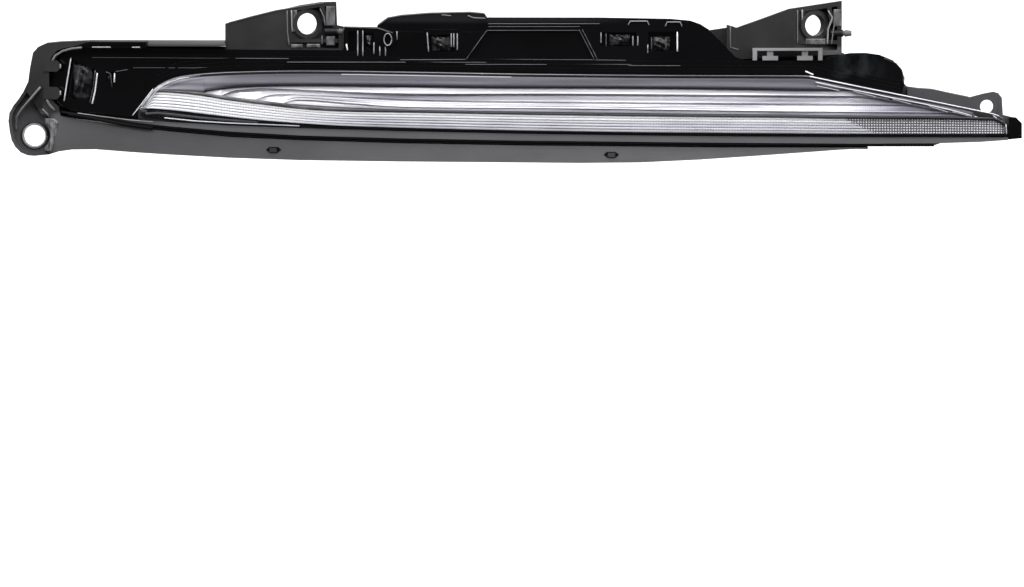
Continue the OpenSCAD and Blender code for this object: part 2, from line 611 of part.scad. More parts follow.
module heat_sink() color("#b4b6ba") {
    x0 = place(board_x[0] + 4);
    x1 = place(board_x[1] - 4);
    on_bow(sink_depth, sink_depth + 2) polygon(board_band(0, x0, x1));
    for (share = [0.05, 0.5, 0.95])
        on_bow(sink_depth + 1, housing_back - housing_wall - gap) polygon(concat(
            [for (x = bends(divider, x0, x1)) [x, fin_z(x, share) + 0.6]],
            reversed([for (x = bends(divider, x0, x1)) [x, fin_z(x, share) - 0.6]])));
}
function fin_z(x, share) = lerp(z_on(divider, x) - 3, z_on(optic_bottom, x) + 2.2, share);

signal_board_place = [92, 27.5];
module signal_board() color("#1d5c3a")
    at_bow(place(signal_board_place[0]), signal_board_place[1], reflector_depth + 3 + gap)
        translate([-7, 0, -5]) cube([26, board_t, 10]);

module signal_leds() color("#e89a2c") for (i = [0 : 2])
    at_bow(place(signal_board_place[0]) - 3 + i * 8, signal_board_place[1], reflector_depth + 3 + gap + board_t)
        translate([-1.4, 0.1, -1.4]) cube([2.8, 1.1, 2.8]);

// Driver module on the housing's back, with its fins and screw ears
module at_driver(y) at_bow(place(driver_place[0]), driver_place[1], housing_back)
    translate([0, driver_pad + 0.4 + gap + y, 0]) children();

module driver_module() color("#8e9196") difference() {
    union() {
        at_driver(0) translate([-driver_w / 2, 0, -driver_h / 2]) cube([driver_w, 2.5, driver_h]);
        at_driver(0) translate([-driver_w / 2 + 10, 0, -driver_h / 2 + 2])
            cube([driver_w - 20, driver_d, driver_h - 4]);
        at_driver(driver_d - 1) for (i = [0 : fin_count - 1])
            translate([lerp(-driver_w / 2 + 12, driver_w / 2 - 13.4, i / (fin_count - 1)), 0, -driver_h / 2 + 4])
                cube([1.4, 7, driver_h - 8]);
    }
    driver_screw_places() translate([0, -1, 0]) post(1.5 + gap, 10, 12);
}

module driver_screw_places() for (i = [-1, 1], k = [-1, 1])
    at_driver(0) translate([i * (driver_w / 2 - 5), 0, k * (driver_h / 2 - 5)]) children();

module driver_screws() color("#a9abae") driver_screw_places() {
    translate([0, -1.6, 0]) post(1.5, 5, 12);
    translate([0, 2.5 + gap, 0]) difference() {
        post(2.9, 2, 16);
        translate([0, 1, 0]) rotate([-90, 0, 0]) cylinder(r = 1.5, h = 3, $fn = 6);
    }
}

// Plug socket on the housing's back, open towards the rear
socket_len = 16;
socket_floor = 3;
module at_socket() at_bow(place(connector_place[0]), connector_place[1], housing_back + gap) children();

module plug_socket() color("#202022") at_socket() difference() {
    union() {
        translate([-socket_w / 2, 0, -socket_h / 2]) cube([socket_w, socket_len, socket_h]);
        translate([-socket_w / 2 - 3, 0, -socket_h / 2 - 3]) cube([socket_w + 6, 2, socket_h + 6]);
        translate([-3, 4, socket_h / 2 - 1]) cube([6, 7, 2.6]);
    }
    translate([-socket_w / 2 + socket_wall, socket_floor, -socket_h / 2 + socket_wall])
        cube([socket_w - 2 * socket_wall, socket_len, socket_h - 2 * socket_wall]);
    for (i = [0 : 3]) translate([pin_x(i), -1, 0]) post(0.8 + gap, 10, 16);
}
function pin_x(i) = lerp(-socket_w / 2 + socket_wall + 3, socket_w / 2 - socket_wall - 3, i / 3);

module contact_pins() color("#c8b06a") at_socket()
    for (i = [0 : 3]) translate([pin_x(i), 0.3, 0]) post(0.8, 9, 10);

// Vent cap: a mushroom over the housing's breather, with a notched edge
module vent_cap() color("#1b1b1d") at_bow(place(vent_place[0]), vent_place[1], housing_back + 1.4 + gap)
    difference() {
        union() {
            post(5.4, 3, 16);
            translate([0, 2, 0]) post(9, 3.4, 24);
        }
        for (a = [0 : 60 : 300]) rotate([0, a, 0]) translate([-1, 1.9, 7]) cube([2, 1.8, 4]);
    }

// Light grey clip in the bezel's notch, with two legs and two tabs
clip_x = [396.8, 435.4];
module retaining_clip() color("#8f9294") {
    x0 = place(clip_x[0]);
    x1 = place(clip_x[1]);
    on_bow(panel_depth - 3.6, panel_depth - gap) for (x = [x0, x1 - 2.4])
        translate([x, 41.9]) square([2.4, 6.7]);
    on_bow(panel_depth - 3.6, panel_depth + 6) translate([x0, 47.2]) square([x1 - x0, 1.4]);
    on_bow(panel_depth - 3.6, panel_depth - 2) for (x = [x0 + 5.4, x1 - 14])
        translate([x, 41.9]) square([8.6, 2.4]);
    on_bow(panel_depth - 2.4, panel_depth - 0.8) for (x = [x0 + 8, x1 - 11.4])
        translate([x, 41.9]) square([3.4, 6]);
}

// Studs that hold the apron to the bumper, with a hook in each window of the apron
module snap_studs() color("#77777a") for (p = stud_places) {
    x = place(p[0]);
    at_bow(x, p[1], apron_depth + carrier_wall + chord_sag + gap) {
        translate([-6.5, 0, -2.6]) cube([13, 1.5, 5.2]);
        translate([-stud_tongue / 2, -4.4, -1.2]) cube([stud_tongue, 5.2, 2.4]);
        translate([-stud_tongue / 2, 1, -1]) cube([stud_tongue, 9, 2]);
    }
}

// Pins that locate the lamp, each clipped into a notch in the inner wall of its bracket
peg_shaft = 7;
peg_places = [[outer_hole_x + 16.3, outer_hole_z - 4.2], [inner_hole_x + 15.5, inner_hole_z - 4.4]];
module at_peg(p) translate([p[0], bow_back(p[0], bracket_depth + 1), p[1]]) rotate([0, 90, 0]) children();
module locating_pegs() color("#3f3f43") for (p = peg_places) at_peg(p) {
    translate([0, 0, -peg_shaft]) cylinder(r = peg_r, h = peg_shaft, $fn = 14);
    cylinder(r = peg_r * 0.7, h = 2, $fn = 14);
    translate([0, 0, 0.8]) cylinder(r1 = peg_r, r2 = peg_r * 0.72, h = 3.8, $fn = 14);
}

// Screws that hold the housing to the carrier's web
module at_screws() for (p = unit_screw_places) at_bow(place(p[0]), p[1], housing_back) children();
module unit_screws() color("#a9abae") at_screws() {
    translate([0, -8, 0]) post(screw_r, 12, 12);
    translate([0, web_depth + carrier_wall - housing_back + gap, 0]) difference() {
        post(4.4, 2.8, 16);
        translate([0, 1.6, 0]) rotate([-90, 0, 0]) cylinder(r = 1.8, h = 3, $fn = 6);
    }
}

// Flat lead from the long board to the driver, bent back over the heat sink
lead_x = [282, 294];
lead_t = 0.6;
lead_z = 15;
module flex_lead() color("#c79a4a") intersection() {
    translate([place(lead_x[0]), front_limit, 0])
        cube([lead_x[1] - lead_x[0], back_limit - front_limit, 40]);
    along_bow() {
        foot = z_on(divider, place(lead_x[0])) - 2.4 + gap;
        translate([board_depth + 0.5, foot]) square([lead_t, lead_z + lead_t - foot]);
        translate([board_depth + 0.5, lead_z])
            square([housing_back - housing_wall - gap - board_depth - 0.5, lead_t]);
    }
}

carrier();
housing();
bezel();
lens();
lens_seal();
reflector();
pillow_optic();
light_guide();
trim_rail();
end_cap();
seal_strip();
drl_board();
drl_leds();
signal_board();
signal_leds();
heat_sink();
driver_module();
driver_screws();
plug_socket();
contact_pins();
vent_cap();
retaining_clip();
snap_studs();
locating_pegs();
unit_screws();
flex_lead();
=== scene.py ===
"""Looks of the daytime running light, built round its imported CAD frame.

Sizes are in millimetres in the part's own frame and become metres where a mesh is made. X runs inboard,
-Y faces forward and +Z is up. A depth is measured back from the lens face along the lamp's plan curve.
"""
from math import asin, ceil, cos, dist, pi, radians, sin, sqrt

import bmesh
import bpy
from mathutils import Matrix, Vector


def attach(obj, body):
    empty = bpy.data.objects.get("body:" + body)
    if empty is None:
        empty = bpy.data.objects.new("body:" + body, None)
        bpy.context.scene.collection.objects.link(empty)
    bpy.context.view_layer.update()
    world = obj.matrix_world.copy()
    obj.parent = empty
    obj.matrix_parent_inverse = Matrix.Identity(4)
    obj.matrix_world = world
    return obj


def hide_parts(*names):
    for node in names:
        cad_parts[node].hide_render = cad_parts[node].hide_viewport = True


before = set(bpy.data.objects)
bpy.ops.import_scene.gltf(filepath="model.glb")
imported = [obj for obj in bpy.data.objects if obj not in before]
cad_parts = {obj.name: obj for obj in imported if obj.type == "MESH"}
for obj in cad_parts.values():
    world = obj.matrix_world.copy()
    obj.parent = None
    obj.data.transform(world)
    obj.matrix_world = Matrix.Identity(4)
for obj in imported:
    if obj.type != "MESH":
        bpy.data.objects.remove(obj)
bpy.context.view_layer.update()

# Driving sizes, the same as the CAD model's
MM = 0.001
TIP_X = 545.7
BOW_R = 1500
LENS_REACH = 38
BOW_X = TIP_X / 2 - 8
BOW_Y = BOW_R - LENS_REACH
RIM_WALL = 1.3
LENS_RIM = 11
LENS_CROWN = 1.6
LENS_START = 57.5
LENS_END = 538
LEDGE_DEPTH = 7
FLUTE_DEPTH = 12
OPTIC_DEPTH = 5.5

# Front-view edge lines as (x, z) at their bends
RAIL_TOP = [(14, 14.6), (22.6, 13.3), (36.5, 11.9), (54.7, 10), (75, 8.3), (91.7, 7.4), (108.3, 6.4),
            (146.9, 5.1), (202, 3.5), (268.4, 2.1), (345.7, 0.9), (456, -0.1), (534, -0.4), (545.7, -0.2)]
LENS_TOP = [(54.7, 10.6), (59.1, 17.1), (62.4, 21.5), (65.2, 25.1), (68.5, 27.9), (72.4, 30.1), (77.9, 32.3),
            (83.4, 33.5), (91.7, 34.5), (108.3, 35.6), (146.9, 36.4), (202, 35.9), (268.4, 34.8), (345.7, 34),
            (412, 33.7), (427.5, 33.5), (432, 32.6), (456, 27.6), (500.4, 18.6), (522.5, 14), (531, 12),
            (535.5, 9.5), (537.4, 6), (538, 2)]
DIVIDER = [(62, 25.4), (75, 25), (91.7, 23.7), (108.3, 21.2), (124.8, 19.2), (146.9, 16.6), (169, 15.2),
           (202, 14.4), (268.4, 13.1), (345.7, 12), (412, 11.3), (456, 10.6), (500.4, 10.2), (538, 9.2)]
OPTIC_BOTTOM = [(56, 15.3), (75, 14), (91.7, 12.2), (108.3, 10.3), (124.8, 8.6), (146.9, 6.9), (169, 5.5),
                (202, 4.4), (268.4, 2.9), (312.6, 2.2), (379, 1.5), (456, 0.8), (538, 0.6)]


def lerp(a, b, t):
    return a + (b - a) * t


def unit(value):
    """The value, held between 0 and 1."""
    return min(max(value, 0), 1)


def neighbours(line, i):
    """The points before and after point i of a line, or itself at an end."""
    return line[max(i - 1, 0)], line[min(i + 1, len(line) - 1)]


def slope(line, i):
    """Slope of an edge line at its bend i."""
    (x0, z0), (x1, z1) = neighbours(line, i)
    return (z1 - z0) / (x1 - x0)


def z_on(line, x):
    """Height of an edge line at x, on a smooth curve through its bends."""
    i = 0
    while i < len(line) - 2 and x >= line[i + 1][0]:
        i += 1
    width = line[i + 1][0] - line[i][0]
    t = unit((x - line[i][0]) / width)
    s = t * t * (3 - 2 * t)
    bend = slope(line, i) * t * (1 - t) ** 2 - slope(line, i + 1) * t * t * (1 - t)
    return lerp(line[i][1], line[i + 1][1], s) + width * bend


def bow_back(x, depth):
    return BOW_Y - sqrt((BOW_R - depth) ** 2 - (x - BOW_X) ** 2)


def at(x, z, depth):
    """A point of the lamp in metres."""
    return Vector((x * MM, bow_back(x, depth) * MM, z * MM))


def between(a, b, t):
    """A point on the way from a to b in the front view."""
    return lerp(a[0], b[0], t), lerp(a[1], b[1], t)


def steps(x0, x1, pitch):
    """Positions from x0 to x1 that lie about a pitch apart."""
    count = max(1, ceil((x1 - x0) / pitch))
    return [lerp(x0, x1, i / count) for i in range(count + 1)]


def placed(name, data):
    """A new object in the scene."""
    made = bpy.data.objects.new(name, data)
    bpy.context.scene.collection.objects.link(made)
    return made


def shown(mesh, finishes, replaces=(), smooth=True):
    """Shows a mesh as a piece of the same name, which rides on the lamp's one body."""
    for polygon in mesh.polygons:
        polygon.use_smooth = smooth
    for finish in finishes:
        mesh.materials.append(finish)
    piece = placed(mesh.name, mesh)
    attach(piece, "root")
    if replaces:
        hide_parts(*replaces)
    return piece


def grid_mesh(name, columns, bands=None, closed=False):
    """A skin over columns of points. bands gives the finish of each face, column by column."""
    rows = len(columns[0])
    points = [p for column in columns for p in column]
    faces = []
    kinds = []
    for c in range(len(columns) - 1):
        for r in range(rows if closed else rows - 1):
            low = c * rows + r
            high = c * rows + (r + 1) % rows
            faces.append((low, high, high + rows, low + rows))
            kinds.append(bands[c][r] if bands else 0)
    if closed:
        faces.append(tuple(range(rows))[::-1])
        faces.append(tuple(len(points) - rows + r for r in range(rows)))
        kinds += [kinds[0], kinds[-1]]
    mesh = bpy.data.meshes.new(name)
    mesh.from_pydata(points, [], faces)
    for polygon, kind in zip(mesh.polygons, kinds):
        polygon.material_index = kind
    shell = bmesh.new()
    shell.from_mesh(mesh)
    bmesh.ops.remove_doubles(shell, verts=shell.verts, dist=1e-7)
    bmesh.ops.recalc_face_normals(shell, faces=shell.faces)
    shell.to_mesh(mesh)
    shell.free()
    return mesh


def add_rings(shell, rings):
    """Skins rings of vertices one after another and closes both ends."""
    for low, high in zip(rings, rings[1:]):
        for i in range(len(low)):
            j = (i + 1) % len(low)
            shell.faces.new((low[i], low[j], high[j], high[i]))
    shell.faces.new(rings[0][::-1])
    shell.faces.new(rings[-1])


def shell_mesh(name, shell):
    """Turns a finished shell into a mesh whose faces look outward."""
    bmesh.ops.recalc_face_normals(shell, faces=shell.faces)
    mesh = bpy.data.meshes.new(name)
    shell.to_mesh(mesh)
    shell.free()
    return mesh


# Materials

COAT_ROUGH = 0.04
GLOSS_ROUGH = 0.06
GLOSS_TOP_ROUGH = 0.55
GRAIN = 0.0003
FLOW = (0.4, 1, 1)
# Where the flutes' painted tone greys towards the inner tip
FLUTE_PAINTED_GREY = (440, 478)


def socket(mat, key):
    """An input of the material's shader."""
    return mat.node_tree.nodes["Principled BSDF"].inputs[key]


def material(name, colour, rough, metal=0.0, coat=0.0, specular=0.5):
    """A new material on one shader, whose fixed values sit on its own sockets."""
    mat = bpy.data.materials.new(name)
    mat.use_nodes = True
    values = {"Base Color": (*colour, 1), "Roughness": rough, "Metallic": metal, "Coat Weight": coat,
              "Coat Roughness": COAT_ROUGH, "Specular IOR Level": specular}
    for key, value in values.items():
        socket(mat, key).default_value = value
    return mat


def node(owner, kind, **values):
    """A new node of a material or the world, with values for its inputs or settings."""
    made = owner.node_tree.nodes.new(kind)
    for key, value in values.items():
        if key in made.inputs:
            made.inputs[key].default_value = value
        else:
            setattr(made, key, value)
    return made


def link(owner, output, target):
    owner.node_tree.links.new(output, target)


def noise(mat, scale, detail=4.0, stretch=None):
    """Noise over the part's own coordinates, drawn out by stretch."""
    coords = node(mat, "ShaderNodeTexCoord")
    place = node(mat, "ShaderNodeMapping")
    if stretch:
        place.inputs["Scale"].default_value = stretch
    link(mat, coords.outputs["Object"], place.inputs["Vector"])
    made = node(mat, "ShaderNodeTexNoise", Scale=scale, Detail=detail)
    link(mat, place.outputs["Vector"], made.inputs["Vector"])
    return made.outputs["Fac"]


def ramp(mat, source, low, high, at_low=0.3, at_high=0.7):
    """Turns a value into a colour between two others."""
    made = node(mat, "ShaderNodeValToRGB")
    for element, position, colour in zip(made.color_ramp.elements, (at_low, at_high), (low, high)):
        element.position = position
        element.color = (*colour, 1)
    link(mat, source, made.inputs["Fac"])
    return made.outputs["Color"]


def spread(owner, value, low, high, start=0.0, end=1.0, smooth=False):
    """Carries a value that runs from start to end over to the range from low to high."""
    made = node(owner, "ShaderNodeMapRange")
    if smooth:
        made.interpolation_type = "SMOOTHSTEP"
    for key, number in (("From Min", start), ("From Max", end), ("To Min", low), ("To Max", high)):
        made.inputs[key].default_value = number
    link(owner, value, made.inputs["Value"])
    return made.outputs["Result"]


def axes(owner, kind, key):
    """The X, Y and Z of the vector that a new node gives out under this key."""
    made = node(owner, "ShaderNodeSeparateXYZ")
    link(owner, node(owner, kind).outputs[key], made.inputs["Vector"])
    return made.outputs


def by_place(mat, start, end, axis="X"):
    """A value that runs from 0 to 1 between two places along an axis of the part, in mm."""
    place = axes(mat, "ShaderNodeTexCoord", "Object")[axis]
    return spread(mat, place, 0, 1, start * MM, end * MM, True)


def calculated(owner, operation, *values):
    """The result of a calculation with one or two values."""
    made = node(owner, "ShaderNodeMath", operation=operation)
    for value, target in zip(values, made.inputs):
        link(owner, value, target)
    return made.outputs["Value"]


def region(mat, *edges):
    """A mask that fades in over each of its edges, each given as for by_place."""
    result = by_place(mat, *edges[0])
    for edge in edges[1:]:
        result = calculated(mat, "MULTIPLY", result, by_place(mat, *edge))
    return result


def blended(mat, factor, low, high, mode="MIX"):
    """Mixes two colours, each a socket or a fixed colour."""
    mix = node(mat, "ShaderNodeMix", data_type="RGBA", blend_type=mode)
    for target, value in ((mix.inputs[0], factor), (mix.inputs[6], low), (mix.inputs[7], high)):
        if isinstance(value, tuple):
            target.default_value = (*value, 1)
        elif isinstance(value, (int, float)):
            target.default_value = value
        else:
            link(mat, value, target)
    return mix.outputs[2]


def paint(mat, tone):
    link(mat, tone, socket(mat, "Base Color"))


def paint_flowing(mat, tone, scale, low, high):
    """Paints a tone that flow marks darken and lighten a little."""
    marks = ramp(mat, noise(mat, scale, stretch=FLOW), (low, low, low), (high, high, high))
    paint(mat, blended(mat, 1.0, tone, marks, "MULTIPLY"))


def bumped(mat, relief, strength, distance=GRAIN):
    """Adds a fine relief, given as its noise, strength and depth."""
    bump = node(mat, "ShaderNodeBump", Strength=strength, Distance=distance)
    link(mat, noise(mat, *relief), bump.inputs["Height"])
    link(mat, bump.outputs["Normal"], socket(mat, "Normal"))


def moulded(name, colour, rough=0.5, grain=0.05, variation=0.12, specular=0.5):
    """Moulded plastic: fine grain, faint flow marks and a roughness that wanders."""
    mat = material(name, colour, rough, specular=specular)
    dark = [c * (1 - variation) for c in colour]
    light = [c * (1 + variation) for c in colour]
    paint(mat, ramp(mat, noise(mat, 40, stretch=FLOW), dark, light))
    link(mat, spread(mat, noise(mat, 90), rough - 0.06, rough + 0.08), socket(mat, "Roughness"))
    bumped(mat, (1800, 2.0), grain)
    return mat


# Places on the carrier with a tone set apart: flange (a painted highlight), tail, ear, pocket by the ear
# (painted shade), beside the clip
CARRIER_TONES_AND_PAINTED_LIGHT = (
    # Flange: painted highlight, paler along the carrier's top edge
    (((62.5, 63.5), (107, 106), (-9, -13, "Y"), (49, 52.4, "Z")), (0.11, 0.11, 0.112)),
    (((478, 484), (4, 8, "Z")), (0.045, 0.045, 0.048)),
    (((8.6, 6), (18, 11, "Z")), (0.042, 0.042, 0.046)),
    # Pocket by the ear: painted shade in the hollow
    (((-1.5, 1), (5.2, 4.4), (13, 16, "Z"), (8, 4, "Y"), (25, 22, "Z")), (0.002, 0.002, 0.002)),
    (((434, 436), (450, 444), (42, 44, "Z"), (50, 48, "Z")), (0.07, 0.07, 0.073)))


def carrier_plastic():
    """Grained dark plastic: nearly black on the rim and brackets, paler on skirt, tail and flange, with a
    painted highlight on the flange and painted shade in the pocket by the ear.
    """
    mat = material("carrier_plastic", (0.02, 0.02, 0.021), 0.5, specular=0.3)
    skirt = ramp(mat, by_place(mat, 10, 330), (0.062, 0.062, 0.065), (0.1, 0.099, 0.105), 0.0, 1.0)
    dark = ramp(mat, noise(mat, 45, 3.0), (0.008, 0.008, 0.0085), (0.018, 0.018, 0.019))
    tone = blended(mat, region(mat, (8, 13), (-3, -6, "Y"), (14, 11, "Z")), dark, skirt)
    for edges, place_tone in CARRIER_TONES_AND_PAINTED_LIGHT:
        tone = blended(mat, region(mat, *edges), tone, place_tone)
    paint_flowing(mat, tone, 55, 0.86, 1.1)
    link(mat, spread(mat, noise(mat, 70, 3.0), 0.36, 0.56), socket(mat, "Roughness"))
    bumped(mat, (1500, 2.0), 0.12)
    return mat


def rail_plastic():
    """Satin grey that is nearly black where the rail starts at the outer end."""
    mat = material("trim_grey", (0.1, 0.1, 0.106), 0.36, specular=0.3)
    tone = blended(mat, by_place(mat, 44, 78), (0.004, 0.004, 0.0045), (0.1, 0.099, 0.106))
    paint_flowing(mat, tone, 40, 0.9, 1.08)
    bumped(mat, (1800, 2.0), 0.02)
    return mat


def peg_plastic():
    """Dark pegs with a paler head."""
    mat = material("peg_plastic", (0.006, 0.006, 0.006), 0.45, specular=0.2)
    outer = region(mat, (167, 168.4), (200, 190))
    head = blended(mat, 1.0, outer, by_place(mat, 446.4, 447.6), "ADD")
    paint(mat, blended(mat, head, (0.006, 0.006, 0.0065), (0.11, 0.11, 0.112)))
    bumped(mat, (1500, 2.0), 0.05)
    return mat


def clear(name, tint, see_through, rough=0.03):
    """Clear plastic that shows mostly by its gloss at a slant."""
    mat = material(name, tint, rough)
    facing = node(mat, "ShaderNodeLayerWeight", Blend=0.25)
    alpha = spread(mat, facing.outputs["Fresnel"], see_through, min(1.0, see_through + 0.6))
    link(mat, alpha, socket(mat, "Alpha"))
    bumped(mat, (12, 4.0, (0.2, 1, 1)), 0.02, 0.001)
    return mat


def gloss_black(name):
    """Polished black plastic with faint swirls, a painted mottled sheen near the inner bracket, a painted
    grey sheen on the dome's top, and dull where it faces up.
    """
    mat = material(name, (0.002, 0.002, 0.0026), GLOSS_ROUGH, coat=0.2, specular=0.25)
    tone = ramp(mat, noise(mat, 25, 3.0), (0.0016, 0.0016, 0.002), (0.003, 0.003, 0.0036))
    # Painted sheen: lighter mottles near the inner bracket
    sheen_mottle = noise(mat, 90, stretch=(1, 1, 0.6))
    painted_sheen = ramp(mat, sheen_mottle, (0.002, 0.002, 0.0024), (0.02, 0.023, 0.025), 0.42, 0.68)
    tone = blended(mat, region(mat, (438, 446), (472, 460), (30, 36, "Z")), tone, painted_sheen)
    # Painted sheen: grey over the dome's top
    dome_top_sheen = region(mat, (186, 196), (338, 296), (61.5, 64.5, "Z"))
    paint(mat, blended(mat, dome_top_sheen, tone, (0.012, 0.012, 0.013)))
    upward = axes(mat, "ShaderNodeNewGeometry", "Normal")["Z"]
    dulled = spread(mat, upward, GLOSS_ROUGH, GLOSS_TOP_ROUGH, 0.75, 0.95, True)
    link(mat, dulled, socket(mat, "Roughness"))
    bumped(mat, (30, 2.0, (0.3, 1, 1)), 0.03, 0.0006)
    return mat


def flute_metal(name, low, high, bright_end=None):
    """Metallised flutes whose painted tones stand in for their reflections: drawn-out waves, greyer towards
    the inner tip and bright at the outer end.
    """
    mat = material(name, high, 0.3, 0.25)
    # Painted reflections: waves of tone along the flutes
    waves = ramp(mat, noise(mat, 110, stretch=(0.1, 1, 2.5)), low, high, 0.36, 0.58)
    if bright_end:
        waves = blended(mat, by_place(mat, *bright_end), (0.93, 0.925, 0.97), waves)
    paint(mat, blended(mat, by_place(mat, *FLUTE_PAINTED_GREY), waves, (0.34, 0.33, 0.39)))
    bumped(mat, (260, 2.0, (0.06, 1, 2)), 0.1, 0.0005)
    return mat


STREAK_RELIEF = ((300, 2.0, (0.1, 1, 3)), 0.05, 0.0004)


def speckled(name, dark, light, rough, speckle, limits, relief, **finish):
    """A finish speckled between two tones, with a relief from a noise of its own."""
    mat = material(name, light, rough, **finish)
    paint(mat, ramp(mat, noise(mat, *speckle), dark, light, *limits))
    bumped(mat, *relief)
    return mat


def satin(name, dark, light, rough, metal):
    """Metallised finish, streaked along the lamp."""
    return speckled(name, dark, light, rough, (60, 3.0, (0.15, 1, 4)), (0.3, 0.7), STREAK_RELIEF, metal=metal)


def bare_metal(name, colour, rough, streak=(1, 1, 1)):
    """Bare metal, streaked along its length."""
    dark = [c * 0.8 for c in colour]
    relief = ((900, 2.0, streak), 0.08, 0.0002)
    return speckled(name, dark, colour, rough, (120, 3.0, streak), (0.3, 0.7), relief, metal=1.0)


def ledge_metal():
    """Violet-grey ledge with drawn-out streaks, and a painted reflection that makes it paler at the outer
    end.
    """
    mat = material("ledge_metal", (0.1, 0.1, 0.12), 0.36, 0.3)
    streaks = noise(mat, 75, stretch=(0.12, 1, 5))
    inner = ramp(mat, streaks, (0.044, 0.042, 0.054), (0.084, 0.08, 0.1), 0.36, 0.62)
    outer = ramp(mat, streaks, (0.08, 0.077, 0.096), (0.26, 0.25, 0.29), 0.36, 0.62)
    # Painted reflection: paler at the outer end
    paint(mat, blended(mat, by_place(mat, 78, 118), outer, inner))
    bumped(mat, *STREAK_RELIEF)
    return mat


def optic_tone(name, low, high, grey, outer=None):
    """Clear rib painted with the light on it: mottled between two tones, whiter outboard as a painted
    highlight and greyer towards the tip as painted shade.
    """
    mat = material(name, high, 0.25)
    mottle = ramp(mat, noise(mat, 150, 3.0, stretch=(0.25, 1, 1)), low, high, 0.32, 0.58)
    if outer:
        mottle = blended(mat, by_place(mat, 125, 190), outer, mottle)
    paint(mat, blended(mat, by_place(mat, 400, 475), mottle, grey))
    return mat


# Optics

LENS_MIDDLE_Z = 15
LENS_HALF_HEIGHT = 23
LENS_TUCK = 0.3
LENS_FACE_ROWS = 10
LENS_FACE_INSET = 0.9
# Rolled edge of the lens, as inset and depth behind its face, after the end of its rim
LENS_EDGE = [(0.0, LENS_RIM), (0.0, 0.7), (0.14, 0.3), (0.45, 0.06)]
# Gap between the lens's rim and the optics inside it
OPTIC_GAP = 0.4


def crown(z):
    """How far the lens's face falls back at a height."""
    return LENS_CROWN * ((z - LENS_MIDDLE_Z) / LENS_HALF_HEIGHT) ** 2


def lens_edge(x, z, back):
    """A point of the lens's rolled edge or of its rim's end."""
    return at(x, z, back if back == LENS_RIM else crown(z) + back)


def lens_piece():
    """Clear cover: a crowned face with a rolled edge and a rim that reaches back."""
    columns = []
    for x in steps(LENS_START, LENS_END, 3):
        high = z_on(LENS_TOP, x)
        low = z_on(RAIL_TOP, x) - LENS_TUCK
        column = [lens_edge(x, high - inset, back) for inset, back in LENS_EDGE]
        for r in range(LENS_FACE_ROWS + 1):
            z = lerp(high - LENS_FACE_INSET, low + LENS_FACE_INSET, r / LENS_FACE_ROWS)
            column.append(at(x, z, crown(z)))
        column += [lens_edge(x, low + inset, back) for inset, back in reversed(LENS_EDGE)]
        columns.append(column)
    # Rows 1 and 2, the upper rolled edge, take a paler, less clear finish: a painted highlight along the
    # lens's top edge
    bands = [[1 if 0 < r < 3 else 0 for r in range(len(columns[0]) - 1)]] * len(columns)
    finishes = [clear("lens_clear", (0.25, 0.26, 0.28), 0.0),
                clear("lens_edge", (0.6, 0.62, 0.68), 0.12, 0.12)]
    shown(grid_mesh("lens_cover", columns, bands), finishes, ("lens",))


def inside_lens(x):
    """Upper limit of the optics below the lens's rim."""
    return z_on(LENS_TOP, x) - RIM_WALL - OPTIC_GAP


# Lower edge of the reflector's ledge, then the upper edges of the flutes that hook round below it
FLUTE_LINES = [
    [(94.4, 24.9), (105.5, 26.5), (119.3, 27.5), (146.9, 28), (202, 27.6), (249, 27), (323.6, 26.7),
     (392.7, 26), (425.8, 25.4), (520, 25)],
    [(105.8, 24.3), (111, 25.4), (117.4, 26.1), (123.7, 26.6), (133, 26.5), (153, 25.6), (202, 23.8),
     (290.5, 23.7), (411, 22.6), (520, 21.6)],
    [(123.7, 21.1), (128.4, 22.4), (135.7, 23.4), (153, 22.9), (202, 20.8), (249, 19.6), (290.5, 19.1),
     (411, 18), (520, 17)],
    [(139.7, 19.7), (144.7, 20.3), (153, 20.2), (169.6, 18.8), (202, 16.5), (249, 15.9), (290.5, 15.6),
     (411, 13.8), (520, 12.6)]]
NOSE_LENGTH = 8
NOSE_LEAD = 2
FULL_FLUTE = 3
# Start, end and pitch of the reflector's columns
REFLECTOR_PITCHES = ((62, 90, 2), (90, 150, 0.75), (150, 425, 2), (425, 472, 0.4), (472, 519, 1.5))
SLOPE_DROP = 3.6
# Where fine flutes cross the long ones, their depth and pitch
FINE_FLUTES = (431, 472)
FINE_DEPTH = 0.16
FINE_PITCH = 1.2
LEDGE_ROWS = (0.0, 0.09, 0.3, 0.55, 0.8, 1.0)
LEDGE_FALL = 1.8
# Run where the ledge's top row takes a painted highlight
LEDGE_LIT = (168, 263)
# Depth of each flute at its top, how far it leans forward at its foot and how hollow it is
FLUTE_BACK = (9.2, 9.9, 9.2, 8.4)
FLUTE_LEAN = (1.4, 1.3, 1.3, 1)
FLUTE_HOLLOW = (0.25, 1.1, 1.1, 1.4)
FLUTE_ROWS = (0, 0.1, 0.2, 0.3, 0.42, 0.55, 0.68, 0.8, 0.9, 1.0)
# Finish of each row of each flute: 1 bright, a painted reflection, 2 groove, painted shade, 3 lilac, a darker
# copy as painted shade under the flute above
FLUTE_FINISH = [[2] + [1] * 8 + [2], [3] * 10, [1] * 9 + [2], [3] * 6 + [2] * 4]
# Height of the dark bar between the reflector and the lower optic
DIVIDER_BAND = [(60, 0.4), (85, 1.1), (110, 1.8), (150, 1.8), (200, 1.1), (290, 0.9), (411, 1.3), (480, 1.7),
                (538, 1.7)]
# Section of that bar, as share of its half height and depth behind its front
DIVIDER_SECTION = ((1, 3.5), (1, 0.4), (0.7, 0), (-0.7, 0), (-1, 0.4), (-1, 1.0))
DIVIDER_FRONT = OPTIC_DEPTH - 0.4


